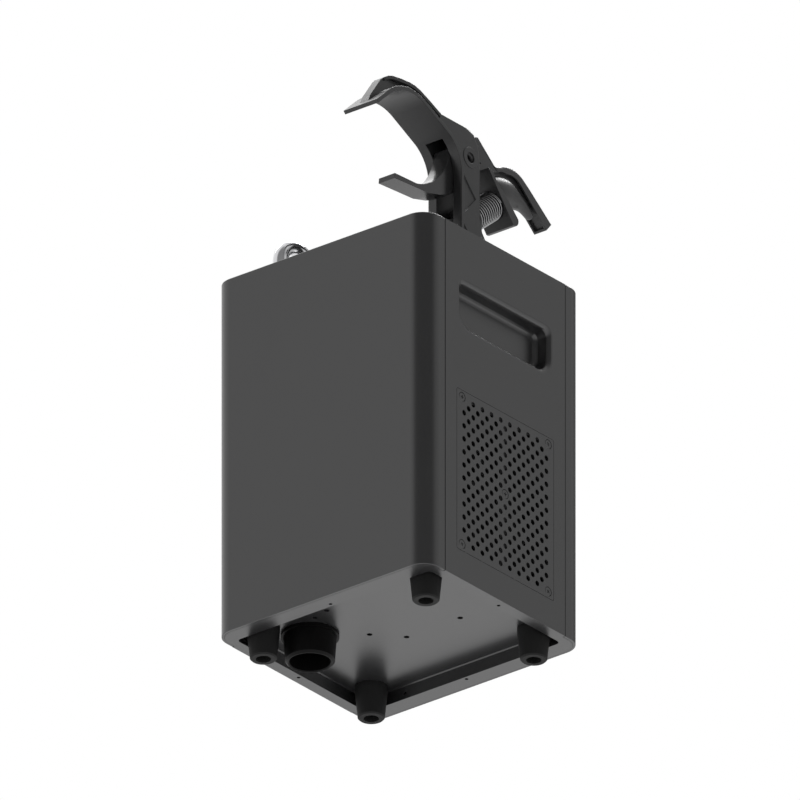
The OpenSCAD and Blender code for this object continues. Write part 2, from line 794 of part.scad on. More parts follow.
module lever_pin() {
  color(steel) rod_x(-cheek_w / 2 + 0.5, lever_pivot[0], top_z + lever_pivot[1], lever_pin_r,
    cheek_w - 3);
}

// Jaw: a claw with a round inner face, and a toothed hub on the pin

claw = [0.6, 124.5];
claw_r = 45.2;
claw_w = slot_w - 2 * side_play;
hub_r = 6.6;
tooth_h = 1.2;
teeth = 12;

module clamp_jaw() {
  hub_edge = [for (i = [0 : teeth - 1]) let(a = 125 - i * 13.7) each [
    jaw_pivot + hub_r * [cos(a), sin(a)],
    jaw_pivot + (hub_r + tooth_h) * [cos(a - 8), sin(a - 8)],
    jaw_pivot + hub_r * [cos(a - 11), sin(a - 11)]]];
  claw_edge = concat(
    [[-12.3, 79.3]], arc(claw, claw_r, -77, -6, 14), [[50, 123.3], [55.8, 122.4]], hub_edge,
    [[63.5, 106], [59.5, 96], [50.5, 88.8], [43, 84.6], [36.3, 81.8], [23.5, 78.2], [4.2, 76.7],
      [-12.7, 75.4]]);
  color(cast) difference() {
    clamp_side(claw_w) polygon(claw_edge);
    rod_x(-cheek_w, jaw_pivot[0], top_z + jaw_pivot[1], jaw_pin_r + pin_play, 2 * cheek_w);
  }
}

// Lever: a pawl and hub between the cheeks, a strap, a wide plate for the spring and
// a hooked handle with a web under its bend

lever_hub_r = 3.9;
elbow = [112.5, 111];
elbow_r = 21.3;
elbow_inner_r = 15;
hollow = [95.2, 133.2];
hollow_r = 6;
handle_tip = [[154.4, 106.2], [149, 99.7]];
strap_edge = concat(
  [[68.8, 133.4], [74.5, 139.8], [77, 140.4]], arc(hollow, hollow_r, 229, 297, 5),
  arc(elbow, elbow_r, 124, 52, 9), handle_tip,
  backwards(arc(elbow, elbow_inner_r, 108, 52, 7)),
  [[102, 124.9], [95.5, 121.6], [91.2, 120.3], [87.2, 119.6]]);

plate_face = [[79.94, 117.4], [105.9, 85.8]];

module lever_plate() {
  polygon(concat(
    plate_face, arc([107.2, 89.6], 4.6, -100, 20, 6),
    [[103.3, 99], [87.1, 113], [86, 116.8]]));
}

// Channel under the handle, from the elbow to a rim at the tip.
handle_dir = [cos(139.7), sin(139.7)];
handle_in = [-handle_dir[1], handle_dir[0]];
channel_end = handle_tip[1] + 1.8 * handle_dir;

module handle_channel() {
  polygon(concat(
    arc(elbow, elbow_inner_r + channel_d, 100, 52, 6),
    [channel_end - channel_d * handle_in, channel_end + handle_in],
    backwards(arc(elbow, elbow_inner_r - 1, 100, 52, 6))));
}

// Swelling on both sides of the web: two caps of a large ball.
swell = [105.5, 111.5];
swell_r = 11.2;
swell_t = 5;
swell_ball_r = (swell_r * swell_r + swell_t * swell_t) / (2 * swell_t);

module lever_swell() {
  n = 8;
  function ball(x) = sqrt(swell_ball_r ^ 2 - (swell_ball_r - x) ^ 2);
  translate([-swell_t, swell[0], top_z + swell[1]]) rotate([0, 90, 0])
    rotate_extrude($fn = fine) polygon(concat(
      [[0, 0]],
      [for (i = [1 : n]) [ball(swell_t * i / n), swell_t * i / n]],
      [for (i = [n - 1 : -1 : 1]) [ball(swell_t * i / n), swell_t * (2 - i / n)]],
      [[0, 2 * swell_t]]));
}

module clamp_lever() {
  color(cast) {
    difference() {
      clamp_side(claw_w) union() {
        translate(lever_pivot) circle(r = lever_hub_r, $fn = 48);
        polygon([[65, 125.5], [70, 121.6], [79, 121.6], [76.5, 133.1], [69.2, 132.8], [64.5, 133.3]]);
        polygon([[63, 126.4], [57.2, 125.2], [55.9, 127.6], [63, 131.9]]);
      }
      rod_x(-cheek_w, lever_pivot[0], top_z + lever_pivot[1], lever_pin_r + pin_play, 2 * cheek_w);
    }
    difference() {
      clamp_side(handle_w) union() {
        polygon(strap_edge);
        polygon([[69.6, 132.6], [70.5, 122.4], [79.2, 117.1], [85, 113.6], [92, 121], [77, 139.4]]);
      }
      clamp_side(handle_w - 2 * channel_rim) handle_channel();
    }
    // plate with a cup and a spigot for the spring
    difference() {
      clamp_side(seat_w) lever_plate();
      on_seat() translate([0, 0, spring_len - cup_d]) rotate([180, 0, 0])
        cylinder(r = spring_r + 0.4, h = 6, $fn = fine);
      on_seat() translate([0, 0, spring_len - cup_d - eps])
        cylinder(r = spring_r + 0.4, h = cup_d + eps, $fn = fine);
    }
    on_seat() translate([0, 0, spring_len - 6]) cylinder(r = 6.2, h = 7, $fn = fine);
    // web under the bend
    clamp_side(web_w) polygon([
      [85, 112.5], [91.2, 121], [98, 125], [108, 129], [120.5, 127.8], [133.5, 118], [138, 112.6],
      [134.2, 110.9], [130.5, 110.2], [124, 109], [113, 106.8], [104.6, 99.6], [100, 95]]);
    lever_swell();
  }
}

// Spring: one wire in curls between the pad and the lever's plate, with its end
// curls closed up. Its least gap to itself is printed.

spring_dir = [0, cos(seat_a), sin(seat_a)];
spring_up = [0, -sin(seat_a), cos(seat_a)];
spring_len = (plate_face[0] - seat_mid) * [cos(seat_a), sin(seat_a)] + cup_d;
spring_mean_r = spring_r - wire_r;
spring_steps = 8;
end_pitch = 2 * wire_r + 0.42;
mid_pitch = (spring_len - 2 * wire_r - 0.6 - 2 * end_pitch) / (curls - 2);

function spring_rise(t) =
  t < 1 ? t * end_pitch
  : t > curls - 1 ? end_pitch + (curls - 2) * mid_pitch + (t - curls + 1) * end_pitch
  : end_pitch + (t - 1) * mid_pitch;

function spring_point(t) =
  [0, seat_mid[0], top_z + seat_mid[1]]
  + spring_dir * (wire_r + 0.3 + spring_rise(t))
  + spring_mean_r * (cos(360 * t) * [1, 0, 0] + sin(360 * t) * spring_up);

function spring_ring(k) =
  let(
    t = k / spring_steps,
    c = spring_point(t),
    out = cos(360 * t) * [1, 0, 0] + sin(360 * t) * spring_up)
  [for (j = [0 : 5]) c + wire_r * (cos(60 * j) * out + sin(60 * j) * spring_dir)];

spring_marks = [for (k = [0 : curls * spring_steps]) spring_point(k / spring_steps)];
spring_gap = min([for (i = [0 : len(spring_marks) - 1 - spring_steps])
  min([for (j = [i + spring_steps - 1 : min(i + spring_steps + 1, len(spring_marks) - 1)])
    norm(spring_marks[j] - spring_marks[i])])]) - 2 * wire_r;
echo(spring_gap = spring_gap);

module clamp_spring() {
  color(steel) loft([for (k = [curls * spring_steps : -1 : 0]) spring_ring(k)]);
}

// Mounting bolt with its washer and nut, and the channel that spreads the load

washer_t = 2.5;
bolt_head_h = 7.5;
bracket_w = 36;
bracket_t = 3;
bracket_fold = 10;
nut_h = 10;

module clamp_washer() {
  color(steel) translate([0, 0, top_z + clamp_foot_t]) difference() {
    cylinder(r = 2 * bolt_r, h = washer_t, $fn = fine);
    translate([0, 0, -1]) cylinder(r = bolt_r + 0.25, h = washer_t + 2, $fn = fine);
  }
}

module clamp_bolt() {
  head_z = top_z + clamp_foot_t + washer_t;
  tail_z = roof_z - bracket_t - nut_h - 3;
  color(steel) {
    translate([0, 0, head_z]) cylinder(r = 1.83 * bolt_r, h = bolt_head_h, $fn = 6);
    translate([0, 0, tail_z]) cylinder(r = bolt_r, h = head_z - tail_z + 1, $fn = fine);
  }
}

module clamp_nut() {
  color(steel) translate([0, 0, roof_z - bracket_t - nut_h]) difference() {
    cylinder(r = 1.83 * bolt_r, h = nut_h, $fn = 6);
    translate([0, 0, -1]) cylinder(r = bolt_r + 0.05, h = nut_h + 2, $fn = fine);
  }
}

module hanging_bracket() {
  len_x = in_w - 2 * lip_t;
  color(steel) difference() {
    union() {
      translate([-len_x / 2, -bracket_w / 2, roof_z - bracket_t]) cube([len_x, bracket_w, bracket_t]);
      for (sy = [-1, 1])
        translate([-len_x / 2, sy * (bracket_w / 2 - 1) - 1, roof_z - bracket_t - bracket_fold])
          cube([len_x, 2, bracket_fold + 1]);
    }
    translate([0, 0, roof_z - bracket_t - 1]) cylinder(r = bolt_r + 0.2, h = bracket_t + 2, $fn = fine);
    translate([eye_x, eye_y, roof_z - 30]) cylinder(r = 11, h = 40, $fn = fine);
  }
}

// Control panel at the back

panel_r = 4;
panel_lap = 4;
panel_face = back_y - sheet_t;
panel_mid = rim_z + panel_z;
socket_w = 26;
socket_h = 31;
socket_hole_r = 12;
socket_step = (panel_w - 1.6) / 4;
socket_z = panel_mid - 33;
socket_xs = [for (i = [-1.5 : 1 : 1.5]) i * socket_step];
button_z = panel_mid + 4;
button_step = panel_w / 5.8;
button_xs = [for (i = [-1.5 : 1 : 1.5]) i * button_step];
display_x = 12;
display_w = panel_w - 52;
display_h = 24;
display_z = panel_mid + 34;
switch_x = 17 - panel_w / 2;
switch_z = panel_mid + 34;
switch_w = 15;
switch_h = 24;
switch_wall = 2;

module rear_panel() {
  color(black) face(panel_face, panel_t) difference() {
    translate([0, panel_mid]) rrect(panel_w + 2 * panel_lap, panel_h + 2 * panel_lap, panel_r);
    for (x = socket_xs) translate([x, socket_z]) circle(r = socket_hole_r, $fn = fine);
    for (x = button_xs) translate([x, button_z]) circle(r = button_r + button_gap, $fn = fine);
    translate([display_x, display_z]) square([display_w, display_h], center = true);
    translate([switch_x, switch_z])
      square([switch_w + 2 * switch_wall + 0.1, switch_h + 2 * switch_wall + 0.1], center = true);
  }
}

// Clear window with a step that rests on the panel.
module display_window() {
  color([0.1, 0.16, 0.2, 0.9]) {
    face(panel_face + 1, 1) translate([display_x, display_z]) rrect(display_w + 5, display_h + 5, 2);
    face(panel_face + eps, panel_t + eps) translate([display_x, display_z])
      square([display_w - 0.4, display_h - 0.4], center = true);
  }
}

// Button: a domed cap through the panel, a collar behind it and a short stem.
module push_button(x) {
  collar_y = panel_face - panel_t - 0.3;
  color([0.75, 0.75, 0.75]) translate([x, collar_y - 3, button_z]) rotate([-90, 0, 0])
    rotate_extrude($fn = 48) polygon([
      [0, 0], [2, 0], [2, 1.6], [button_r + 1.4, 1.6], [button_r + 1.4, 3], [button_r, 3],
      [button_r, 3 + panel_t + 1.6], [button_r - 0.7, 3 + panel_t + 2.2], [0, 3 + panel_t + 2.4]]);
}

module menu_button() { push_button(button_xs[3]); }
module up_button() { push_button(button_xs[2]); }
module down_button() { push_button(button_xs[1]); }
module enter_button() { push_button(button_xs[0]); }

socket_bore_r = 9.4;
socket_bore_h = 12;
socket_len = 22;

// Square-flanged round socket; children are cut or added inside it.
module socket_shell(x) {
  flange = sheet_t;
  difference() {
    union() {
      face(panel_face + flange, flange) translate([x, socket_z]) rrect(socket_w, socket_h, 3);
      rod_y(x, panel_face + eps, socket_z, socket_hole_r - 0.2, socket_len);
    }
    rod_y(x, panel_face + flange + 1, socket_z, socket_bore_r, socket_bore_h + 1);
    for (s = [-1, 1]) rod_y(x + s * 9.5, panel_face + flange + 1, socket_z - s * 12, 1.6, 2);
  }
}

module socket_pins(x, n, r, pin_h) {
  base_y = panel_face + sheet_t - socket_bore_h;
  for (i = [0 : n - 1]) let(a = 360 * i / n + 90)
    rod_y(x + 4.5 * cos(a), base_y + pin_h, socket_z + 4.5 * sin(a), r, pin_h + 1);
}

module dmx_input() {
  color(black) socket_shell(socket_xs[3]);
  color(steel) socket_pins(socket_xs[3], 3, 1.1, 9);
}

// The female socket is filled by an insert with three contact holes.
module dmx_output() {
  x = socket_xs[2];
  color(black) {
    socket_shell(x);
    difference() {
      rod_y(x, panel_face + sheet_t - 2.5, socket_z, socket_bore_r - 1.4, socket_bore_h - 2);
      for (a = [90, 210, 330])
        rod_y(x + 4.5 * cos(a), panel_face + sheet_t, socket_z + 4.5 * sin(a), 1.3, 9);
    }
  }
}

// Locking mains sockets: a keyed core stands in the bore.
module mains_socket(x) {
  socket_shell(x);
  difference() {
    rod_y(x, panel_face + sheet_t - 1.5, socket_z, 6, socket_bore_h - 1);
    for (a = [0, 120, 240])
      rod_y(x + 3.4 * cos(a), panel_face + sheet_t, socket_z + 3.4 * sin(a), 1.3, 9);
    translate([x - 1, panel_face - 4, socket_z + 4.6]) cube([2, 8, 3]);
  }
}

module power_inlet() { color([0.12, 0.22, 0.5]) mains_socket(socket_xs[0]); }
module power_outlet() { color([0.75, 0.75, 0.75]) mains_socket(socket_xs[1]); }

// Power switch: a bezel with a well, and a rocker on two trunnions

rocker_y = panel_face - 5;
trunnion_r = 1.5;
rocker_gap = 0.35;

module switch_bezel() {
  outer_w = switch_w + 2 * switch_wall;
  outer_h = switch_h + 2 * switch_wall;
  well = 15;
  color(black) difference() {
    union() {
      face(panel_face + 1.5, 1.5) translate([switch_x, switch_z]) rrect(outer_w + 4, outer_h + 4, 1.5);
      face(panel_face + eps, well + 2) translate([switch_x, switch_z])
        square([outer_w, outer_h], center = true);
    }
    face(panel_face + 3, well + 3) translate([switch_x, switch_z])
      square([switch_w, switch_h], center = true);
    rod_x(switch_x - outer_w, rocker_y, switch_z, trunnion_r + pin_play, 2 * outer_w);
  }
}

module switch_rocker() {
  half = switch_h / 2 - 0.8;
  color([0.55, 0.06, 0.05]) {
    translate([switch_x - switch_w / 2 + rocker_gap, rocker_y, switch_z]) rotate([10, 0, 0])
      rotate([90, 0, 90]) linear_extrude(height = switch_w - 2 * rocker_gap) difference() {
        polygon([[-3.4, -2.5], [-2.4, -3.6], [3.6, -half + 1], [6.9, -half + 1.2], [5, 0],
          [6.9, half - 1.2], [3.6, half - 1], [-2.4, 3.6], [-3.4, 2.5]]);
      }
    rod_x(switch_x - switch_w / 2 - switch_wall + 0.2, rocker_y, switch_z, trunnion_r,
      switch_w + 2 * switch_wall - 0.4);
  }
}

// Filler: a threaded neck through the top plate, a seal and a screw cap

neck_up = 9;
seal_h = 1.6;
seal_play = 0.3;

module filler_neck() {
  hold = 6;
  color(black) translate([hopper_x, hopper_y, 0]) rotate_extrude($fn = fine) polygon([
    [neck_bore_r, hopper_top], [neck_bore_r, top_z + neck_up], [neck_r - 0.8, top_z + neck_up],
    [neck_r, top_z + neck_up - 0.8], [neck_r, roof_z], [neck_r + hold - 3, roof_z],
    [neck_r + hold - 3, roof_z - 2], [neck_r, roof_z - 2], [neck_r, hopper_top]]);
}

module filler_cap_seal() {
  color(rubber) translate([hopper_x, hopper_y, top_z + neck_up + 0.05]) difference() {
    cylinder(r = neck_r - 0.5, h = seal_h, $fn = fine);
    translate([0, 0, -1]) cylinder(r = neck_bore_r, h = seal_h + 2, $fn = fine);
  }
}

// Screw cap with a grip of grooves round its side and a raised bar across its top.
module filler_cap() {
  z0 = top_z + 0.6;
  crown_z = top_z + neck_up + 0.05 + seal_h + seal_play;
  inner_r = neck_r + 1.1;
  color(black) translate([hopper_x, hopper_y, 0]) difference() {
    union() {
      rotate_extrude($fn = fine) polygon([
        [0, crown_z], [inner_r, crown_z], [inner_r, z0], [cap_r, z0], [cap_r, z0 + cap_h - 1.2],
        [cap_r - 1.2, z0 + cap_h], [0, z0 + cap_h]]);
      translate([-cap_r + 3, -2.2, z0 + cap_h - 1]) cube([2 * cap_r - 6, 4.4, 5]);
    }
    for (i = [0 : 19]) rotate(18 * i) translate([cap_r + 0.4, 0, z0 - 1])
      cylinder(r = 1.2, h = cap_h - 2, $fn = 16);
  }
}

// Hopper and feed

hopper_top = roof_z - lip_h - 15;
hopper_r = 30;
hopper_wall = 1.6;
feed_mid = rim_z + feed_z;
feed_wall = 2.5;
feed_r = feed_bore_r + feed_wall;
hopper_bottom = feed_mid + feed_r + 4;
drop_r = 6;
feed_left = nozzle_x - 12;
feed_right = side_x - 31;

module granule_hopper() {
  shoulder_z = hopper_top - 25;
  color([0.8, 0.8, 0.82]) translate([hopper_x, hopper_y, 0]) rotate_extrude($fn = fine) polygon([
    [neck_bore_r, hopper_top], [neck_bore_r, hopper_top - hopper_wall],
    [hopper_r - hopper_wall, hopper_top - hopper_wall], [hopper_r - hopper_wall, shoulder_z],
    [drop_r, hopper_bottom + 3], [drop_r, hopper_bottom], [drop_r + 4, hopper_bottom],
    [drop_r + 4, hopper_bottom + 2], [hopper_r, shoulder_z - 2], [hopper_r, hopper_top]]);
}

module feed_housing() {
  color([0.6, 0.6, 0.62]) difference() {
    union() {
      rod_x(feed_left, hopper_y, feed_mid, feed_r, feed_right - feed_left);
      translate([hopper_x, hopper_y, feed_mid])
        cylinder(r = drop_r + 4, h = hopper_bottom - feed_mid, $fn = fine);
      translate([nozzle_x, hopper_y, heater_top])
        cylinder(r = drop_r + 3, h = feed_mid - heater_top, $fn = fine);
      translate([nozzle_x, nozzle_y, heater_top]) cylinder(r = sleeve_r, h = 3, $fn = fine);
    }
    rod_x(feed_left + 3, hopper_y, feed_mid, feed_bore_r, feed_right - feed_left);
    translate([hopper_x, hopper_y, feed_mid]) cylinder(r = drop_r, h = 60, $fn = fine);
    translate([nozzle_x, hopper_y, heater_top - 1])
      cylinder(r = drop_r, h = feed_mid - heater_top, $fn = fine);
  }
}

// Feed screw: a helical flight round a core, on the motor's shaft.
module feed_auger() {
  flight_r = feed_bore_r - feed_gap;
  core_r = 2.6;
  len_x = feed_right - feed_left - 5;
  turns = 7;
  color(steel) translate([feed_left + 3.5, hopper_y, feed_mid]) rotate([0, 90, 0]) {
    linear_extrude(height = len_x, twist = -360 * turns, slices = turns * 8, convexity = 8)
      polygon([[core_r * 0.9, -1.1], [flight_r, -0.7], [flight_r, 0.7], [core_r * 0.9, 1.1],
        [0, core_r], [-core_r * 0.9, 1.1], [-core_r * 0.9, -1.1], [0, -core_r]]);
    cylinder(r = 2.4, h = len_x + 8, $fn = 32);
  }
}

module feed_motor() {
  motor_r = 14;
  color([0.5, 0.5, 0.5]) difference() {
    union() {
      rod_x(feed_right, hopper_y, feed_mid, motor_r, 8);
      rod_x(feed_right + 8, hopper_y, feed_mid, motor_r - 2, 20);
    }
    rod_x(feed_right - 1, hopper_y, feed_mid, 2.4 + pin_play, 9);
  }
}

// Heater over the nozzle

heater_r = nozzle_bore_r + 3;
heater_bore_r = nozzle_bore_r + 1.2;
heater_bottom = floor_z + spigot_h;
heater_top = feed_mid - feed_r - 8;
sleeve_r = heater_r + 6;

module heater_tube() {
  color(steel) translate([nozzle_x, nozzle_y, heater_bottom]) difference() {
    cylinder(r = heater_r, h = heater_top - heater_bottom, $fn = fine);
    translate([0, 0, -1]) cylinder(r = heater_bore_r, h = heater_top, $fn = fine);
    translate([0, 0, duct_z - heater_bottom]) rotate([-90, 0, 0]) cylinder(r = 6, h = 40, $fn = 32);
  }
}

module heater_sleeve() {
  color([0.85, 0.84, 0.8]) translate([nozzle_x, nozzle_y, floor_z]) difference() {
    cylinder(r = sleeve_r, h = heater_top - floor_z, $fn = fine);
    translate([0, 0, -1]) cylinder(r = heater_r + 0.2, h = heater_top, $fn = fine);
    translate([0, 0, duct_z - floor_z]) rotate([-90, 0, 0]) cylinder(r = 6, h = 40, $fn = 32);
  }
}

// Blower that drives the sparks out, with a duct to the heater

blower = [nozzle_x, blower_y];
blower_r = 27;
blower_h = 24;
blower_wall = 1.8;
duct_z = floor_z + blower_h / 2;
impeller_r = 20;

module blower_housing() {
  duct_y = nozzle_y + sleeve_r;
  color(black) difference() {
    union() {
      translate([blower[0], blower[1], floor_z]) cylinder(r = blower_r, h = blower_h, $fn = fine);
      translate([blower[0] - 9, duct_y, floor_z + 3]) cube([18, blower[1] - duct_y, blower_h - 6]);
    }
    translate([blower[0], blower[1], floor_z + blower_wall])
      cylinder(r = blower_r - blower_wall, h = blower_h - 2 * blower_wall, $fn = fine);
    translate([blower[0], blower[1], floor_z + blower_h / 2]) cylinder(r = 12, h = blower_h, $fn = fine);
    translate([blower[0], duct_y - 1, duct_z]) rotate([-90, 0, 0])
      cylinder(r = 6, h = blower[1] - duct_y - impeller_r, $fn = 32);
  }
  color(steel) translate([blower[0], blower[1], floor_z]) cylinder(r = 2, h = blower_h - 5, $fn = 32);
}

module blower_impeller() {
  disc_z = floor_z + blower_wall + 1.2;
  blade_h = blower_h - 2 * blower_wall - 4.5;
  color([0.2, 0.2, 0.2]) translate([blower[0], blower[1], disc_z]) difference() {
    union() {
      cylinder(r = impeller_r, h = 1.6, $fn = fine);
      cylinder(r = 5, h = blade_h, $fn = 32);
      for (i = [0 : 15]) rotate(i * 22.5) translate([impeller_r - 6, 0, 0]) rotate(35)
        cube([6, 1, blade_h]);
    }
    translate([0, 0, -1]) cylinder(r = 2 + pin_play, h = blower_h, $fn = 32);
    difference() {
      cylinder(r = impeller_r + 10, h = 3 * blower_h, center = true, $fn = fine);
      cylinder(r = impeller_r, h = 4 * blower_h, center = true, $fn = fine);
    }
  }
}

// Cooling fan behind the right vent

fan_x = side_x - sheet_t;
fan_bore_r = fan_w / 2 - 3;
fan_hub_r = 17;
fan_shaft_r = 1.5;

module cooling_fan_frame() {
  motor_t = 6;
  color(black) {
    difference() {
      side(fan_x - fan_t, fan_t) translate([0, vent_mid_z]) difference() {
        rrect(fan_w, fan_w, 4);
        circle(r = fan_bore_r, $fn = 96);
      }
    }
    rod_x(fan_x - fan_t, 0, vent_mid_z, fan_hub_r, motor_t);
    rod_x(fan_x - fan_t, 0, vent_mid_z, fan_shaft_r, fan_t - 7);
    side(fan_x - fan_t, 4) translate([0, vent_mid_z]) intersection() {
      union() {
        for (a = [45, 165, 285]) rotate(a) translate([0, -2.5]) square([fan_bore_r + 2, 5]);
      }
      circle(r = fan_bore_r + 1, $fn = 96);
    }
  }
}

module cooling_fan_rotor() {
  hub_x = fan_x - fan_t + 6.8;
  hub_t = fan_t - 6.8 - 4.5;
  tip_r = fan_bore_r - fan_gap;
  color([0.16, 0.16, 0.16]) translate([hub_x, 0, vent_mid_z]) rotate([0, 90, 0]) difference() {
    union() {
      cylinder(r = fan_hub_r, h = hub_t, $fn = fine);
      intersection() {
        union() {
          for (i = [0 : 6]) rotate(i * 360 / 7) translate([fan_hub_r - 2, 0, hub_t / 2])
            rotate([50, 0, 0]) translate([0, -9, -0.8]) cube([tip_r, 18, 1.6]);
        }
        cylinder(r = tip_r, h = hub_t, $fn = 96);
      }
    }
    translate([0, 0, -1]) cylinder(r = fan_shaft_r + pin_play, h = hub_t, $fn = 32);
  }
}

// Power supply and control board

psu_size = [66, 46, 92];
psu_x = -14;
psu_y = back_y - sheet_t - lip_t - psu_size[1] - 1;

module power_supply() {
  color([0.65, 0.66, 0.68]) difference() {
    translate([psu_x, psu_y, floor_z]) cube(psu_size);
    for (i = [0 : 5]) translate([psu_x + 8 + i * 9, psu_y - 1, floor_z + 20]) cube([4, 3, 50]);
  }
}

module control_board() {
  board_y = panel_face - panel_t - 3.3 - button_travel - 1.5 - 0.3;
  board_h = 62;
  board_mid = panel_mid + 24;
  posts = [for (sx = [-1, 1], sz = [-1, 1]) [sx * (panel_w / 2 - 3), board_mid + sz * 28]];
  color(board) {
    difference() {
      face(board_y, 1.6) translate([0, board_mid]) square([panel_w, board_h], center = true);
      face(board_y + 1, 4) translate([switch_x, switch_z])
        square([switch_w + 2 * switch_wall + 2, switch_h + 2 * switch_wall + 2], center = true);
    }
    for (x = button_xs) face(board_y + 1.5, 1.5 + eps) translate([x, button_z])
      square([6, 6], center = true);
    for (p = posts) rod_y(p[0], panel_face - panel_t, p[1], 2.5, panel_face - panel_t - board_y);
  }
}

front_cover();
rear_cover();
left_side_panel();
right_side_panel();
top_plate();
bottom_frame();
bottom_plate();
left_handle_pocket();
right_handle_pocket();
left_vent_grille();
right_vent_grille();
grille_screws();
foot_front_left();
foot_front_right();
foot_rear_left();
foot_rear_right();
foot_screws();
nozzle();
safety_eye();
eye_nut();
clamp_body();
clamp_jaw();
jaw_pin();
clamp_lever();
lever_pin();
clamp_spring();
clamp_bolt();
clamp_washer();
clamp_nut();
hanging_bracket();
rear_panel();
display_window();
menu_button();
up_button();
down_button();
enter_button();
power_inlet();
power_outlet();
dmx_input();
dmx_output();
switch_bezel();
switch_rocker();
filler_neck();
filler_cap_seal();
filler_cap();
granule_hopper();
feed_housing();
feed_auger();
feed_motor();
heater_tube();
heater_sleeve();
blower_housing();
blower_impeller();
cooling_fan_frame();
cooling_fan_rotor();
power_supply();
control_board();
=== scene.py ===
"""Looks of a hanging cold spark machine: powder-coated housing, rubber feet, black nozzle,
cast trigger clamp with its wound spring, chromed lifting eye and rear control panel."""

import json
import math

import bmesh
import bpy
from mathutils import Matrix, Vector


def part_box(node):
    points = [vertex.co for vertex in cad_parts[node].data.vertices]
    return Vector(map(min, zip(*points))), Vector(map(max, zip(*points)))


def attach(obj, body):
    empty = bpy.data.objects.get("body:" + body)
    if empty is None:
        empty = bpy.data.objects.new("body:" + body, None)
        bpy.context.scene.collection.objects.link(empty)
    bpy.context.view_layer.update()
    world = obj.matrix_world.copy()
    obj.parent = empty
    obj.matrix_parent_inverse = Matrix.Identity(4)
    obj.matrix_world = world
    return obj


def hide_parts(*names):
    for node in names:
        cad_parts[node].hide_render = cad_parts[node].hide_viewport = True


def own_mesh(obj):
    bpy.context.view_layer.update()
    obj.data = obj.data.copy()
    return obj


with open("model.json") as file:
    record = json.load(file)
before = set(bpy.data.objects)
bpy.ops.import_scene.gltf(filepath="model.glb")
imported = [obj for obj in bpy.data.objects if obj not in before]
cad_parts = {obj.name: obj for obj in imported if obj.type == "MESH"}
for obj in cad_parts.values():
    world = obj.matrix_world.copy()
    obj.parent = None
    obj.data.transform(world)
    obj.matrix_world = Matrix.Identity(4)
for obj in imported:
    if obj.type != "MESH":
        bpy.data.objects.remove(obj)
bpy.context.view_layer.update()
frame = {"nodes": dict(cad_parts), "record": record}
MM = 0.001

# Camera: the photograph has no perspective and looks up from in front of the right corner

PHOTO_PX = 800
PX_PER_MM = 1.5157
AZIMUTH = math.radians(38.93)
LOOK_UP = math.radians(26.45)
CENTRE_RIGHT = 0.94 * MM
CENTRE_UP = 159.4 * MM
RIM_CENTRE = Vector((0, 0, 13.4 * MM))
CAMERA_AWAY = 1.6


def make_camera():
    """Adds the camera whose image centre is the photograph's centre."""
    right = Vector((math.cos(AZIMUTH), math.sin(AZIMUTH), 0))
    forward = Vector((-math.sin(AZIMUTH) * math.cos(LOOK_UP), math.cos(AZIMUTH) * math.cos(LOOK_UP),
                      math.sin(LOOK_UP)))
    up = right.cross(forward)
    centre = RIM_CENTRE + right * CENTRE_RIGHT + up * CENTRE_UP
    data = bpy.data.cameras.new("photo_camera")
    data.type = "ORTHO"
    data.ortho_scale = PHOTO_PX / PX_PER_MM * MM
    data.clip_end = 50
    camera = bpy.data.objects.new("photo_camera", data)
    turn = Matrix((right, up, -forward)).transposed()
    camera.matrix_world = Matrix.Translation(centre - forward * CAMERA_AWAY) @ turn.to_4x4()
    bpy.context.scene.collection.objects.link(camera)
    bpy.context.scene.camera = camera


make_camera()


class Field:
    """A shader socket that adds Math nodes when it is used in an expression."""

    def __init__(self, finish, socket):
        self.finish = finish
        self.socket = socket

    def _math(self, operation, *terms):
        return self.finish.node("ShaderNodeMath", {"operation": operation}, terms)

    def __add__(self, other):
        return self._math("ADD", self, other)

    def __sub__(self, other):
        return self._math("SUBTRACT", self, other)

    def __mul__(self, other):
        return self._math("MULTIPLY", self, other)

    __radd__ = __add__

    def ramp(self, *stops):
        """The value looked up on a ramp of (place, grey) stops."""
        return self.finish.node("ShaderNodeValToRGB", {"stops": stops}, [self])


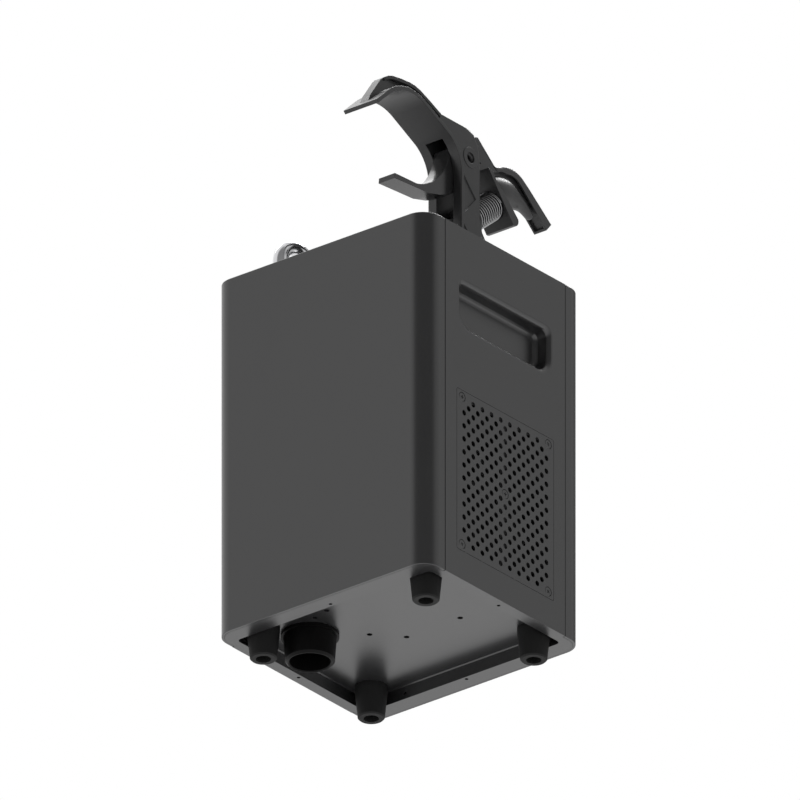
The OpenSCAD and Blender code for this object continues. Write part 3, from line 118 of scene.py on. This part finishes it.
class Finish:
    """A material under construction."""

    # Sockets of a colour Mix node, which has the same names more than once
    MIX_SHARE, MIX_DARK, MIX_LIGHT, MIX_COLOUR = 0, 6, 7, 2

    def __init__(self, name):
        self.material = bpy.data.materials.new(name)
        self.material.use_nodes = True
        self.tree = self.material.node_tree
        self.tree.nodes.clear()

    def node(self, kind, settings=None, inputs=(), output=0):
        """Adds a node: its settings first, then the values or links of its sockets."""
        made = self.tree.nodes.new(kind)
        for key, value in (settings or {}).items():
            if key == "stops":
                self._set_stops(made.color_ramp, value)
            else:
                setattr(made, key, value)
        pairs = inputs.items() if isinstance(inputs, dict) else enumerate(inputs)
        for key, value in pairs:
            if isinstance(value, Field):
                self.tree.links.new(value.socket, made.inputs[key])
            else:
                made.inputs[key].default_value = value
        return Field(self, made.outputs[output])

    @staticmethod
    def _set_stops(ramp, stops):
        while len(ramp.elements) < len(stops):
            ramp.elements.new(1)
        for element, (place, grey) in zip(ramp.elements, stops):
            element.position = place
            element.color = (grey, grey, grey, 1)

    def place(self):
        """The object's own coordinates, in metres."""
        return self.node("ShaderNodeTexCoord", output="Object")

    def stretched(self, scale):
        """The object's coordinates with a scale for each axis."""
        return self.node("ShaderNodeMapping", None, {"Vector": self.place(), "Scale": scale})

    def noise(self, size, detail=3, rough=0.5, where=None):
        """Soft noise whose lumps are about the given size in metres."""
        return self.node("ShaderNodeTexNoise", None, {
            "Vector": where or self.place(), "Scale": 1 / size,
            "Detail": detail, "Roughness": rough})

    def grains(self, size):
        """Distance to the nearest of many scattered grains."""
        return self.node("ShaderNodeTexVoronoi", None,
                         {"Vector": self.place(), "Scale": 1 / size}, output="Distance")

    def tint(self, dark, light, mask):
        """A colour between two others, by a mask."""
        return self.node("ShaderNodeMix", {"data_type": "RGBA"}, {
            self.MIX_SHARE: mask, self.MIX_DARK: (*dark, 1), self.MIX_LIGHT: (*light, 1)},
            output=self.MIX_COLOUR)

    def bump(self, height, depth, strength):
        """A normal from a height, with the depth of a height of 1 in metres."""
        return self.node("ShaderNodeBump", None,
                         {"Height": height, "Distance": depth, "Strength": strength})

    def done(self, **values):
        """Ends the material in one Principled shader."""
        shader = self.node("ShaderNodeBsdfPrincipled", None,
                           {key.replace("_", " "): value for key, value in values.items()})
        out = self.tree.nodes.new("ShaderNodeOutputMaterial")
        self.tree.links.new(shader.socket, out.inputs["Surface"])
        return self.material


# Spring of the clamp: its axis from the pad to the lever's plate, its wire and its coil

TOP_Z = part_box("front_cover")[1].z
SPRING_TILT = math.radians(39.4)
SPRING_AXIS = Vector((0, math.cos(SPRING_TILT), math.sin(SPRING_TILT)))
SPRING_FOOT = Vector((0, 72.6 * MM, TOP_Z + 79.2 * MM))
WIRE_R = 0.5 * MM
COIL_R = 10.2 * MM - WIRE_R


# Finishes

def powder_coat(name):
    """Satin dark grey powder coat: fine orange peel under a finer grain."""
    f = Finish(name)
    peel = f.noise(0.9 * MM, detail=2)
    grain = f.grains(0.28 * MM)
    cloud = f.noise(60 * MM, detail=1)
    fleck = f.noise(0.16 * MM, detail=1)
    shade = cloud * 0.5 + fleck * 0.5
    return f.done(
        Base_Color=f.tint((0.009, 0.009, 0.0095), (0.015, 0.015, 0.0155), shade),
        IOR=1.68,
        Roughness=0.25 + cloud * 0.04 + grain * 0.05,
        Normal=f.bump(peel * 0.6 + grain * 0.4, 0.012 * MM, 0.35))


def black_casting(name, colour, rough, grain_depth):
    """Black painted casting: sand texture softened by paint, with a few shinier rubs."""
    f = Finish(name)
    sand = f.noise(0.7 * MM, detail=4, rough=0.65)
    pits = f.grains(1.6 * MM)
    cloud = f.noise(14 * MM, detail=2)
    pale = tuple(c * 1.5 + 0.002 for c in colour)
    return f.done(
        Base_Color=f.tint(colour, pale, cloud * 0.7 + sand * 0.3),
        Roughness=rough + sand * 0.12 - cloud * 0.06,
        Normal=f.bump(sand * 0.7 + pits * 0.3, grain_depth, 0.25))


def moulded_rubber(name, colour, ior=1.36):
    """Matte rubber with a fine bloom and faint moulding specks."""
    f = Finish(name)
    bloom = f.noise(5 * MM, detail=4)
    speck = f.noise(0.35 * MM, detail=2)
    light = tuple(c * 1.7 + 0.002 for c in colour)
    return f.done(
        Base_Color=f.tint(colour, light, bloom * 0.6 + speck * 0.4),
        IOR=ior,
        Roughness=0.58 + bloom * 0.2,
        Normal=f.bump(speck, 0.02 * MM, 0.5))


def moulded_plastic(name, colour, rough):
    """Moulded plastic with spark-eroded grain."""
    f = Finish(name)
    grain = f.noise(0.25 * MM, detail=2)
    cloud = f.noise(20 * MM, detail=1)
    light = tuple(c * 1.15 + 0.002 for c in colour)
    return f.done(
        Base_Color=f.tint(colour, light, cloud),
        Roughness=rough + grain * 0.12,
        Normal=f.bump(grain, 0.012 * MM, 0.5))


def drawn_steel(name, colour, rough, along=(0.06, 1, 1)):
    """Plated or drawn steel with fine lines along one axis."""
    f = Finish(name)
    lines = f.noise(0.25 * MM, detail=3, where=f.stretched(along))
    patch = f.noise(9 * MM, detail=3)
    light = tuple(min(1, c * 1.18) for c in colour)
    return f.done(
        Base_Color=f.tint(colour, light, patch * 0.5 + lines * 0.5),
        Metallic=1.0,
        Roughness=rough + lines * 0.12 + patch * 0.05,
        Normal=f.bump(lines, 0.006 * MM, 0.5))


def wound_steel():
    """Spring wire: steel on the coil's outside, painted shade on the inside of the coil."""
    f = Finish("spring_steel")
    lines = f.noise(0.25 * MM, detail=3)
    reach = f.node("ShaderNodeVectorMath", {"operation": "SUBTRACT"}, [f.place(), SPRING_FOOT])
    across = f.node("ShaderNodeVectorMath", {"operation": "CROSS_PRODUCT"}, [reach, SPRING_AXIS])
    radius = f.node("ShaderNodeVectorMath", {"operation": "LENGTH"}, [across], output="Value")
    # Painted shade: the wire's inside, nearer the axis than the coil's middle, is near black; its
    # outside is steel
    outer = f.node("ShaderNodeMapRange", {"interpolation_type": "SMOOTHSTEP"}, {
        "Value": radius, "From Min": COIL_R - 0.1 * WIRE_R, "From Max": COIL_R + 0.5 * WIRE_R})
    return f.done(
        Base_Color=f.tint((0.012, 0.012, 0.0125), (0.4, 0.4, 0.405), outer * (lines * 0.3 + 0.7)),
        Metallic=1.0,
        Roughness=0.24 + lines * 0.12,
        Normal=f.bump(lines, 0.006 * MM, 0.5))


def polished_chrome():
    """Bright plating: almost a mirror, with a soft polishing haze."""
    f = Finish("bright_chrome")
    haze = f.noise(7 * MM, detail=4)
    scratch = f.noise(0.3 * MM, detail=2, where=f.stretched((1, 0.05, 0.4)))
    return f.done(
        Base_Color=f.tint((0.62, 0.62, 0.64), (0.8, 0.8, 0.81), haze),
        Metallic=1.0,
        Roughness=0.07 + haze * 0.08 + scratch * 0.03,
        Normal=f.bump(scratch, 0.002 * MM, 0.4))


def nozzle_black():
    """Heat-resistant black: turned metal whose lines still show under the coat."""
    f = Finish("nozzle_black")
    rings = f.noise(0.35 * MM, detail=2, where=f.stretched((0.04, 0.04, 1)))
    soot = f.noise(8 * MM, detail=4)
    return f.done(
        Base_Color=f.tint((0.0008, 0.0008, 0.0008), (0.002, 0.0018, 0.0018), soot),
        IOR=1.22,
        Roughness=0.4 + soot * 0.16,
        Normal=f.bump(rings, 0.01 * MM, 0.5))


def tinted_window():
    """Dark glossy display window."""
    f = Finish("display_glass")
    smudge = f.noise(12 * MM, detail=3)
    return f.done(
        Base_Color=f.tint((0.006, 0.009, 0.012), (0.012, 0.016, 0.02), smudge),
        Roughness=0.05 + smudge * 0.06,
        Coat_Weight=0.6)


def circuit_laminate():
    """Green solder mask over paler copper areas."""
    f = Finish("circuit_board")
    traces = f.noise(3 * MM, detail=0, where=f.stretched((1, 1, 0.3))).ramp((0.48, 0), (0.5, 1))
    return f.done(
        Base_Color=f.tint((0.008, 0.06, 0.025), (0.015, 0.12, 0.045), traces),
        Roughness=0.3 + traces * 0.1,
        Normal=f.bump(traces, 0.03 * MM, 0.6))


def fibre_sleeve():
    """Pale heat-proof fibre, laid round the heater."""
    f = Finish("heater_felt")
    wrap = f.noise(0.8 * MM, detail=4, where=f.stretched((0.3, 0.3, 1)))
    tuft = f.noise(3 * MM, detail=4)
    return f.done(
        Base_Color=f.tint((0.55, 0.53, 0.48), (0.78, 0.76, 0.7), wrap * 0.5 + tuft * 0.5),
        Roughness=0.92,
        Normal=f.bump(wrap * 0.6 + tuft * 0.4, 0.25 * MM, 0.8))


FINISHES = {
    "powder_coat": powder_coat("powder_coat"),
    "black_screw": powder_coat("black_screw"),
    "foot_rubber": moulded_rubber("foot_rubber", (0.0025, 0.0025, 0.0025), 1.33),
    "zinc_steel": drawn_steel("zinc_steel", (0.55, 0.55, 0.53), 0.3),
    "nozzle_black": nozzle_black(),
    "bright_chrome": polished_chrome(),
    "clamp_black": black_casting("clamp_black", (0.0142, 0.0142, 0.0147), 0.34, 0.02 * MM),
    "jaw_metal": black_casting("jaw_metal", (0.016, 0.016, 0.0165), 0.18, 0.012 * MM),
    # Pins: steel darkened to near black, as painted shade of the deep holes their ends sit in
    "pin_steel": drawn_steel("pin_steel", (0.05, 0.05, 0.052), 0.26),
    "spring_steel": wound_steel(),
    "panel_black": moulded_plastic("panel_black", (0.014, 0.014, 0.015), 0.4),
    "display_glass": tinted_window(),
    "button_plastic": moulded_plastic("button_plastic", (0.36, 0.36, 0.37), 0.35),
    "socket_blue": moulded_plastic("socket_blue", (0.012, 0.05, 0.26), 0.34),
    "socket_grey": moulded_plastic("socket_grey", (0.33, 0.33, 0.34), 0.36),
    "socket_black": moulded_plastic("socket_black", (0.01, 0.01, 0.01), 0.34),
    "rocker_red": moulded_plastic("rocker_red", (0.28, 0.008, 0.008), 0.18),
    "cap_plastic": moulded_plastic("cap_plastic", (0.012, 0.012, 0.012), 0.34),
    "seal_rubber": moulded_rubber("seal_rubber", (0.012, 0.012, 0.012)),
    "spun_aluminium": drawn_steel("spun_aluminium", (0.66, 0.66, 0.68), 0.3, (1, 1, 0.06)),
    "motor_case": drawn_steel("motor_case", (0.4, 0.4, 0.41), 0.34),
    "heater_felt": fibre_sleeve(),
    "fan_plastic": moulded_plastic("fan_plastic", (0.008, 0.008, 0.008), 0.4),
    "supply_case": drawn_steel("supply_case", (0.55, 0.55, 0.56), 0.34),
    "circuit_board": circuit_laminate(),
}

SLOT_OF = {part["node"]: part["material_slot"] for part in frame["record"]["subparts"]}
BODY_OF = {node: body for body, nodes in frame["record"]["behaviour"]["bodies"].items()
           for node in nodes}


def paint(piece, slot):
    """Gives a piece one finish."""
    piece.data.materials.clear()
    piece.data.materials.append(FINISHES[slot])


# Pieces

MERGE_DISTANCE = 0.002 * MM
FLAT_ANGLE = math.radians(0.6)
SHARP_ANGLE = math.radians(32)


def verts_of(geom):
    """The verts in the mixed list that an operator returned."""
    return [item for item in geom if isinstance(item, bmesh.types.BMVert)]


def edges_of(geom):
    """The edges in the mixed list that an operator returned."""
    return [item for item in geom if isinstance(item, bmesh.types.BMEdge)]


def add_piece(name, mesh_build, body, slot, smooth_angle=35):
    """Turns a finished bmesh into a piece that rides on a body; the angle is in degrees."""
    mesh = bpy.data.meshes.new(name)
    mesh_build.to_mesh(mesh)
    mesh_build.free()
    piece = bpy.data.objects.new(name, mesh)
    bpy.context.scene.collection.objects.link(piece)
    mesh.shade_smooth()
    mesh.set_sharp_from_angle(angle=math.radians(smooth_angle))
    paint(piece, slot)
    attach(piece, body)
    return piece


def merged_copy(node):
    """A bmesh of a CAD node with its loose triangles joined and its flat faces whole."""
    build = bmesh.new()
    build.from_mesh(frame["nodes"][node].data)
    bmesh.ops.remove_doubles(build, verts=build.verts, dist=MERGE_DISTANCE)
    bmesh.ops.dissolve_degenerate(build, edges=build.edges, dist=MERGE_DISTANCE)
    bmesh.ops.dissolve_limit(build, angle_limit=FLAT_ANGLE, use_dissolve_boundaries=False,
                             verts=build.verts, edges=build.edges)
    return build


def weigh_edges(build, share):
    """Marks each sharp edge of a bmesh with its share of the widest easing.

    The share is asked with the edge's middle and the normals beside it, the one most along X
    first. Hollow edges get none."""
    layer = build.edges.layers.float.new("bevel_weight_edge")
    for edge in build.edges:
        if len(edge.link_faces) == 2 and edge.calc_face_angle() > SHARP_ANGLE:
            middle = (edge.verts[0].co + edge.verts[1].co) / 2
            normals = sorted((face.normal for face in edge.link_faces), key=lambda n: -abs(n.x))
            edge[layer] = share(middle, *normals) if edge.is_convex else 0


def eased(node, width, segments=2, share=None):
    """Replaces a CAD node by the same shape with its edges eased, all alike or by shares."""
    build = merged_copy(node)
    if share:
        weigh_edges(build, share)
    piece = add_piece(node + "_eased", build, BODY_OF[node], SLOT_OF[node])
    ease = piece.modifiers.new("eased_edges", "BEVEL")
    ease.width = width
    ease.segments = segments
    ease.limit_method = "WEIGHT" if share else "ANGLE"
    ease.angle_limit = SHARP_ANGLE
    ease.use_clamp_overlap = not share
    even = piece.modifiers.new("even_shading", "WEIGHTED_NORMAL")
    even.mode = "FACE_AREA"
    even.weight = 50
    even.keep_sharp = True
    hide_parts(node)
    return piece


for node_name, node_object in frame["nodes"].items():
    paint(node_object, SLOT_OF[node_name])

# Width of the easing of each plain piece, in millimetres
EDGES = {
    "front_cover": 0.35, "rear_cover": 0.35, "left_side_panel": 0.25, "right_side_panel": 0.25,
    "top_plate": 0.3, "bottom_frame": 0.3, "bottom_plate": 0.25,
    "clamp_jaw": 0.4,
    "clamp_bolt": 0.5, "clamp_washer": 0.25, "clamp_nut": 0.4,
    "safety_eye": 0.3, "filler_cap": 0.4, "filler_neck": 0.3,
    "rear_panel": 0.3, "display_window": 0.3, "switch_bezel": 0.3, "switch_rocker": 0.4,
    "power_inlet": 0.3, "power_outlet": 0.3, "dmx_input": 0.3, "dmx_output": 0.3,
    "hanging_bracket": 0.3,
}
for node_name, edge_mm in EDGES.items():
    eased(node_name, edge_mm * MM)


# Easing of the clamp's castings: wide on a few edges, narrow on all others

# Least part along X of a side face's normal
SIDEWAYS = 0.9

# Lever: where the bend's outer faces look, and the edges' places along the strap
BEND_OUT = Vector((0, 0.647, 0.763))
BEND_FACING = 0.2
STRAP_REACH = 6 * MM
BEND_START, BEND_GROWTH = 84 * MM, 14 * MM
BEND_END, BEND_FADE = 114 * MM, 20 * MM
LEVER_WIDTH = 3 * MM
LEVER_SHARE, BEFORE_BEND_SHARE, PAST_BEND_SHARE = 0.06, 0.12, 0.3

# Body: the jaw pin's seat, and the cheeks' outer back edges above the foot
JAW_PIVOT = Vector((0, 60.7 * MM, TOP_Z + 117 * MM))
SEAT_R, SEAT_OUTSIDE = 9.5 * MM, 9 * MM
CHEEK_OUTSIDE, CHEEK_BACK = 11.5 * MM, 58 * MM
CHEEK_FACING = 0.3
FOOT_TOP = TOP_Z + 30 * MM
BODY_WIDTH = 2.4 * MM
BODY_SHARE, SEAT_SHARE = 0.13, 0.09


def lever_share(middle, side, other):
    """Full easing on the outer edges of the strap's bend, fading out both ways along it."""
    outer = abs(side.x) > SIDEWAYS and other.dot(BEND_OUT) > BEND_FACING
    if not outer or abs(middle.x) > STRAP_REACH:
        return LEVER_SHARE
    grow = (middle.y - BEND_START) / BEND_GROWTH
    fade = 1 - (middle.y - BEND_END) / BEND_FADE
    return min(max(grow, BEFORE_BEND_SHARE), 1, max(fade, PAST_BEND_SHARE))


def body_share(middle, side, other):
    """Full easing on the outer back edges of the cheeks, least round the pin's seat."""
    if abs(middle.x) > SEAT_OUTSIDE and (middle - JAW_PIVOT).yz.length < SEAT_R:
        return SEAT_SHARE
    on_back = abs(side.x) > SIDEWAYS and other.y > CHEEK_FACING and middle.y > CHEEK_BACK
    on_cheek = abs(middle.x) > CHEEK_OUTSIDE and middle.z > FOOT_TOP
    return 1.0 if on_back and on_cheek else BODY_SHARE


eased("clamp_lever", LEVER_WIDTH, segments=5, share=lever_share)
eased("clamp_body", BODY_WIDTH, segments=4, share=body_share)


# Swelling of the lever: a boss behind the spring's plate that bends and runs out into the
# handle's channel

# Along the lever, in millimetres: place behind the middle, height over the housing, radius
# and half width
SWELL_RINGS = [
    (95.5, 107.3, 10.6, 8.9), (97.6, 108.9, 11, 9.2), (99.9, 110.1, 11.2, 9.4),
    (102.8, 111.3, 11.2, 9.4), (106.6, 112.2, 11.2, 9.2), (111, 113, 10.6, 8.5),
    (115.5, 112.7, 9.4, 7.2), (120, 112.8, 7.6, 5.7), (125, 112.6, 5.9, 4.6),
    (130, 111.2, 4.3, 3.8), (135, 108.3, 2.6, 3.5), (139, 105.2, 1.2, 3.3)]


def swelling():
    """Rings of the swelling, each extruded from the last and brought to its place."""
    build = bmesh.new()
    bmesh.ops.create_circle(build, cap_ends=True, radius=1, segments=24)
    ring = list(build.verts)
    edges = list(build.edges)
    was = Matrix()
    for index, (back, up, radius, half) in enumerate(SWELL_RINGS):
        ahead = SWELL_RINGS[min(index + 1, len(SWELL_RINGS) - 1)]
        behind = SWELL_RINGS[max(index - 1, 0)]
        fall = math.atan2(ahead[1] - behind[1], ahead[0] - behind[0])
        size = Matrix.Diagonal((half * MM, radius * MM, 1, 1))
        now = (Matrix.Translation((0, back * MM, TOP_Z + up * MM))
               @ Matrix.Rotation(fall - math.pi / 2, 4, "X") @ size)
        if index:
            grown = bmesh.ops.extrude_edge_only(build, edges=edges)["geom"]
            ring = verts_of(grown)
            edges = [edge for edge in edges_of(grown) if edge.is_boundary]
        bmesh.ops.transform(build, matrix=now @ was.inverted(), verts=ring)
        was = now
    bmesh.ops.edgeloop_fill(build, edges=edges)
    bmesh.ops.recalc_face_normals(build, faces=build.faces)
    piece = add_piece("clamp_lever_swelling", build, "clamp_lever", "clamp_black",
                      smooth_angle=80)
    smooth = piece.modifiers.new("smooth_swelling", "SUBSURF")
    smooth.levels = smooth.render_levels = 2


swelling()


# Curls of the spring: as many as the solid's, round and fine

SPRING_LENGTH = 30.43 * MM
END_GAP = 0.3 * MM
CURLS = 12
STEPS = 28
END_PITCH = 2 * WIRE_R + 0.42 * MM


def coil_curls(build, ring, curls, pitch):
    """Winds a ring of wire on by some curls and returns its far end."""
    turned = bmesh.ops.spin(
        build, geom=ring, cent=SPRING_FOOT, axis=SPRING_AXIS, angle=2 * math.pi * curls,
        steps=STEPS * curls, dvec=SPRING_AXIS * (pitch / STEPS), use_duplicate=False)
    return turned["geom_last"]


def wind_spring():
    """One wire: an end curl, the working curls and the other end curl."""
    build = bmesh.new()
    ring = bmesh.ops.create_circle(build, cap_ends=False, radius=WIRE_R, segments=10)["verts"]
    tilt = Matrix.Rotation(SPRING_TILT, 4, "X")
    start = SPRING_FOOT + SPRING_AXIS * (WIRE_R + END_GAP) + Vector((COIL_R, 0, 0))
    bmesh.ops.transform(build, matrix=Matrix.Translation(start) @ tilt, verts=ring)
    geom = list(ring) + list(build.edges)
    first = list(build.edges)
    pitch = (SPRING_LENGTH - 2 * (WIRE_R + END_GAP + END_PITCH)) / (CURLS - 2)
    geom = coil_curls(build, geom, 1, END_PITCH)
    geom = coil_curls(build, geom, CURLS - 2, pitch)
    geom = coil_curls(build, geom, 1, END_PITCH)
    last = edges_of(geom)
    bmesh.ops.remove_doubles(build, verts=build.verts, dist=0.001 * MM)
    for end in (first, last):
        bmesh.ops.edgeloop_fill(build, edges=[edge for edge in end if edge.is_valid])
    bmesh.ops.recalc_face_normals(build, faces=build.faces)
    spring = add_piece("clamp_spring_wire", build, "housing", "spring_steel",
                       smooth_angle=60)
    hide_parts("clamp_spring")
    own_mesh(spring)


wind_spring()


# Screws of the vent plates: low heads with a cross recess

HEAD_R = 3.15 * MM
HEAD_HEIGHT = 0.85 * MM
HEAD_CHAMFER = 0.25 * MM
CROSS_ARM = 1.5 * MM
CROSS_HALF = 0.3 * MM
CROSS_DEPTH = 0.7 * MM
CROSS_TAPER = 0.8


def cross_points():
    """Corners of a plus sign, in order."""
    quarter = [(CROSS_ARM, -CROSS_HALF), (CROSS_ARM, CROSS_HALF), (CROSS_HALF, CROSS_HALF)]
    points = []
    for turn in range(4):
        c, s = math.cos(turn * math.pi / 2), math.sin(turn * math.pi / 2)
        points += [Vector((x * c - y * s, x * s + y * c, 0)) for x, y in quarter]
    return points


def sink(build, edges, down, scale=1):
    """Adds walls from edges down to the same outline, scaled, and returns its edges."""
    grown = bmesh.ops.extrude_edge_only(build, edges=edges)["geom"]
    verts = verts_of(grown)
    bmesh.ops.scale(build, vec=(scale, scale, 1), verts=verts)
    bmesh.ops.translate(build, vec=(0, 0, -down), verts=verts)
    return edges_of(grown)


def screw_head():
    """A bmesh of a low head about the Z axis with its top at zero."""
    build = bmesh.new()
    face_r = HEAD_R - HEAD_CHAMFER
    bmesh.ops.create_circle(build, cap_ends=False, radius=face_r, segments=32)
    rim_edges = list(build.edges)
    cross = [build.verts.new(p) for p in cross_points()]
    cross_edges = [build.edges.new((a, b)) for a, b in zip(cross, cross[1:] + cross[:1])]
    bmesh.ops.triangle_fill(
        build, edges=rim_edges + cross_edges, use_beauty=True, use_dissolve=False)
    skirt = sink(build, rim_edges, HEAD_CHAMFER, HEAD_R / face_r)
    foot = sink(build, skirt, HEAD_HEIGHT - HEAD_CHAMFER)
    floor_edges = sink(build, cross_edges, CROSS_DEPTH, CROSS_TAPER)
    bmesh.ops.edgeloop_fill(build, edges=foot)
    bmesh.ops.edgeloop_fill(build, edges=floor_edges)
    bmesh.ops.recalc_face_normals(build, faces=build.faces)
    return build


VENT_LOW, VENT_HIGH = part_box("right_vent_grille")
VENT_MID = (VENT_LOW + VENT_HIGH) / 2
SCREW_SIDE = 45.2 * MM
SCREW_UP = 54.25 * MM
SCREW_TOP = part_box("grille_screws")[1].x
FIRST_TURN, NEXT_TURN = 0.4, 1.1


def vent_screws():
    """Ten heads, each turned a little differently."""
    gathered = bmesh.new()
    places = [(y, z) for y in (-SCREW_SIDE, SCREW_SIDE) for z in (-SCREW_UP, SCREW_UP)] + [(0, 0)]
    for side in (-1, 1):
        for index, (y, z) in enumerate(places):
            head = screw_head()
            spot = Matrix.Translation((side * SCREW_TOP, y, VENT_MID.z + z))
            facing = Matrix.Rotation(side * math.pi / 2, 4, "Y")
            turn = Matrix.Rotation(FIRST_TURN + NEXT_TURN * index, 4, "Z")
            bmesh.ops.transform(head, matrix=spot @ facing @ turn, verts=head.verts)
            loose = bpy.data.meshes.new("screw_part")
            head.to_mesh(loose)
            head.free()
            gathered.from_mesh(loose)
            bpy.data.meshes.remove(loose)
    screws = add_piece("vent_screw_heads", gathered, "housing", "black_screw",
                       smooth_angle=30)
    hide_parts("grille_screws")


vent_screws()


# Studio

# Direction, edge angle, core angle and level of each dimmer side
DIM_SIDES = [
    ((0.62, -0.62, 0.445), 60, 38, 0.25),
    ((0.56, 0.70, 0.445), 62, 20, 0.61),
    ((-0.56, -0.70, 0.445), 50, 20, 0.88),
    ((-0.5, 0.45, 0.74), 22, 5, 0.35),
    ((-0.2, 0.875, 0.44), 35, 13, 0.3),
]
FLOOR_HALF = 30
FLOOR_LEVEL = -1.0
FLOOR_GLOW = 0.385
LAMP_AIM = Vector((0, 0, 0.2))


def make_floor():
    """Pale floor well below the machine, which hangs above it."""
    build = bmesh.new()
    bmesh.ops.create_grid(build, x_segments=1, y_segments=1, size=FLOOR_HALF)
    bmesh.ops.translate(build, vec=(0, 0, FLOOR_LEVEL), verts=build.verts)
    mesh = bpy.data.meshes.new("studio_floor")
    build.to_mesh(mesh)
    build.free()
    floor = bpy.data.objects.new("studio_floor", mesh)
    bpy.context.scene.collection.objects.link(floor)
    f = Finish("pale_floor")
    mottle = f.noise(1.5, detail=2)
    mesh.materials.append(f.done(
        Base_Color=f.tint((0.86, 0.86, 0.86), (0.9, 0.9, 0.9), mottle),
        Roughness=0.8,
        Emission_Color=f.tint((0.98, 0.98, 0.98), (1, 1, 1), mottle),
        Emission_Strength=FLOOR_GLOW))


def make_world():
    """White studio, dimmer on some sides and darkest high behind the camera."""
    world = bpy.data.worlds.new("studio")
    bpy.context.scene.world = world
    world.use_nodes = True
    tree = world.node_tree
    tree.nodes.clear()
    coord = tree.nodes.new("ShaderNodeTexCoord")

    def combined(operation, a, b):
        made = tree.nodes.new("ShaderNodeMath")
        made.operation = operation
        tree.links.new(a, made.inputs[0])
        tree.links.new(b, made.inputs[1])
        return made.outputs["Value"]

    def lobe(direction, edge, core, level):
        """1 outside the edge angle about a direction and the level inside the core angle."""
        near = tree.nodes.new("ShaderNodeVectorMath")
        near.operation = "DOT_PRODUCT"
        near.inputs[1].default_value = Vector(direction).normalized()
        tree.links.new(coord.outputs["Generated"], near.inputs[0])
        fall = tree.nodes.new("ShaderNodeMapRange")
        fall.interpolation_type = "SMOOTHSTEP"
        fall.inputs["From Min"].default_value = math.cos(math.radians(edge))
        fall.inputs["From Max"].default_value = math.cos(math.radians(core))
        fall.inputs["To Min"].default_value = 1.0
        fall.inputs["To Max"].default_value = level
        tree.links.new(near.outputs["Value"], fall.inputs["Value"])
        return fall.outputs["Result"]

    level = lobe(*DIM_SIDES[0])
    for terms in DIM_SIDES[1:]:
        level = combined("MULTIPLY", level, lobe(*terms))
    path = tree.nodes.new("ShaderNodeLightPath")
    for ray in ("Is Camera Ray", "Is Transmission Ray"):
        level = combined("MAXIMUM", level, path.outputs[ray])
    sky = tree.nodes.new("ShaderNodeBackground")
    sky.inputs["Color"].default_value = (1, 1, 1, 1)
    tree.links.new(level, sky.inputs["Strength"])
    out = tree.nodes.new("ShaderNodeOutputWorld")
    tree.links.new(sky.outputs["Background"], out.inputs["Surface"])


def softbox(name, place, size, power):
    """A square area lamp that faces the machine's middle."""
    data = bpy.data.lights.new(name, "AREA")
    data.size = size
    data.energy = power
    lamp = bpy.data.objects.new(name, data)
    lamp.location = place
    aim = LAMP_AIM - Vector(place)
    lamp.rotation_euler = aim.to_track_quat("-Z", "Y").to_euler()
    bpy.context.scene.collection.objects.link(lamp)


make_floor()
make_world()
softbox("top_softbox", place=(-1.2, 0.5, 2.2), size=1.3, power=11)
softbox("rear_softbox", place=(-0.28, 1.3, 2.3), size=1, power=40)
bpy.context.scene.view_settings.view_transform = "Standard"
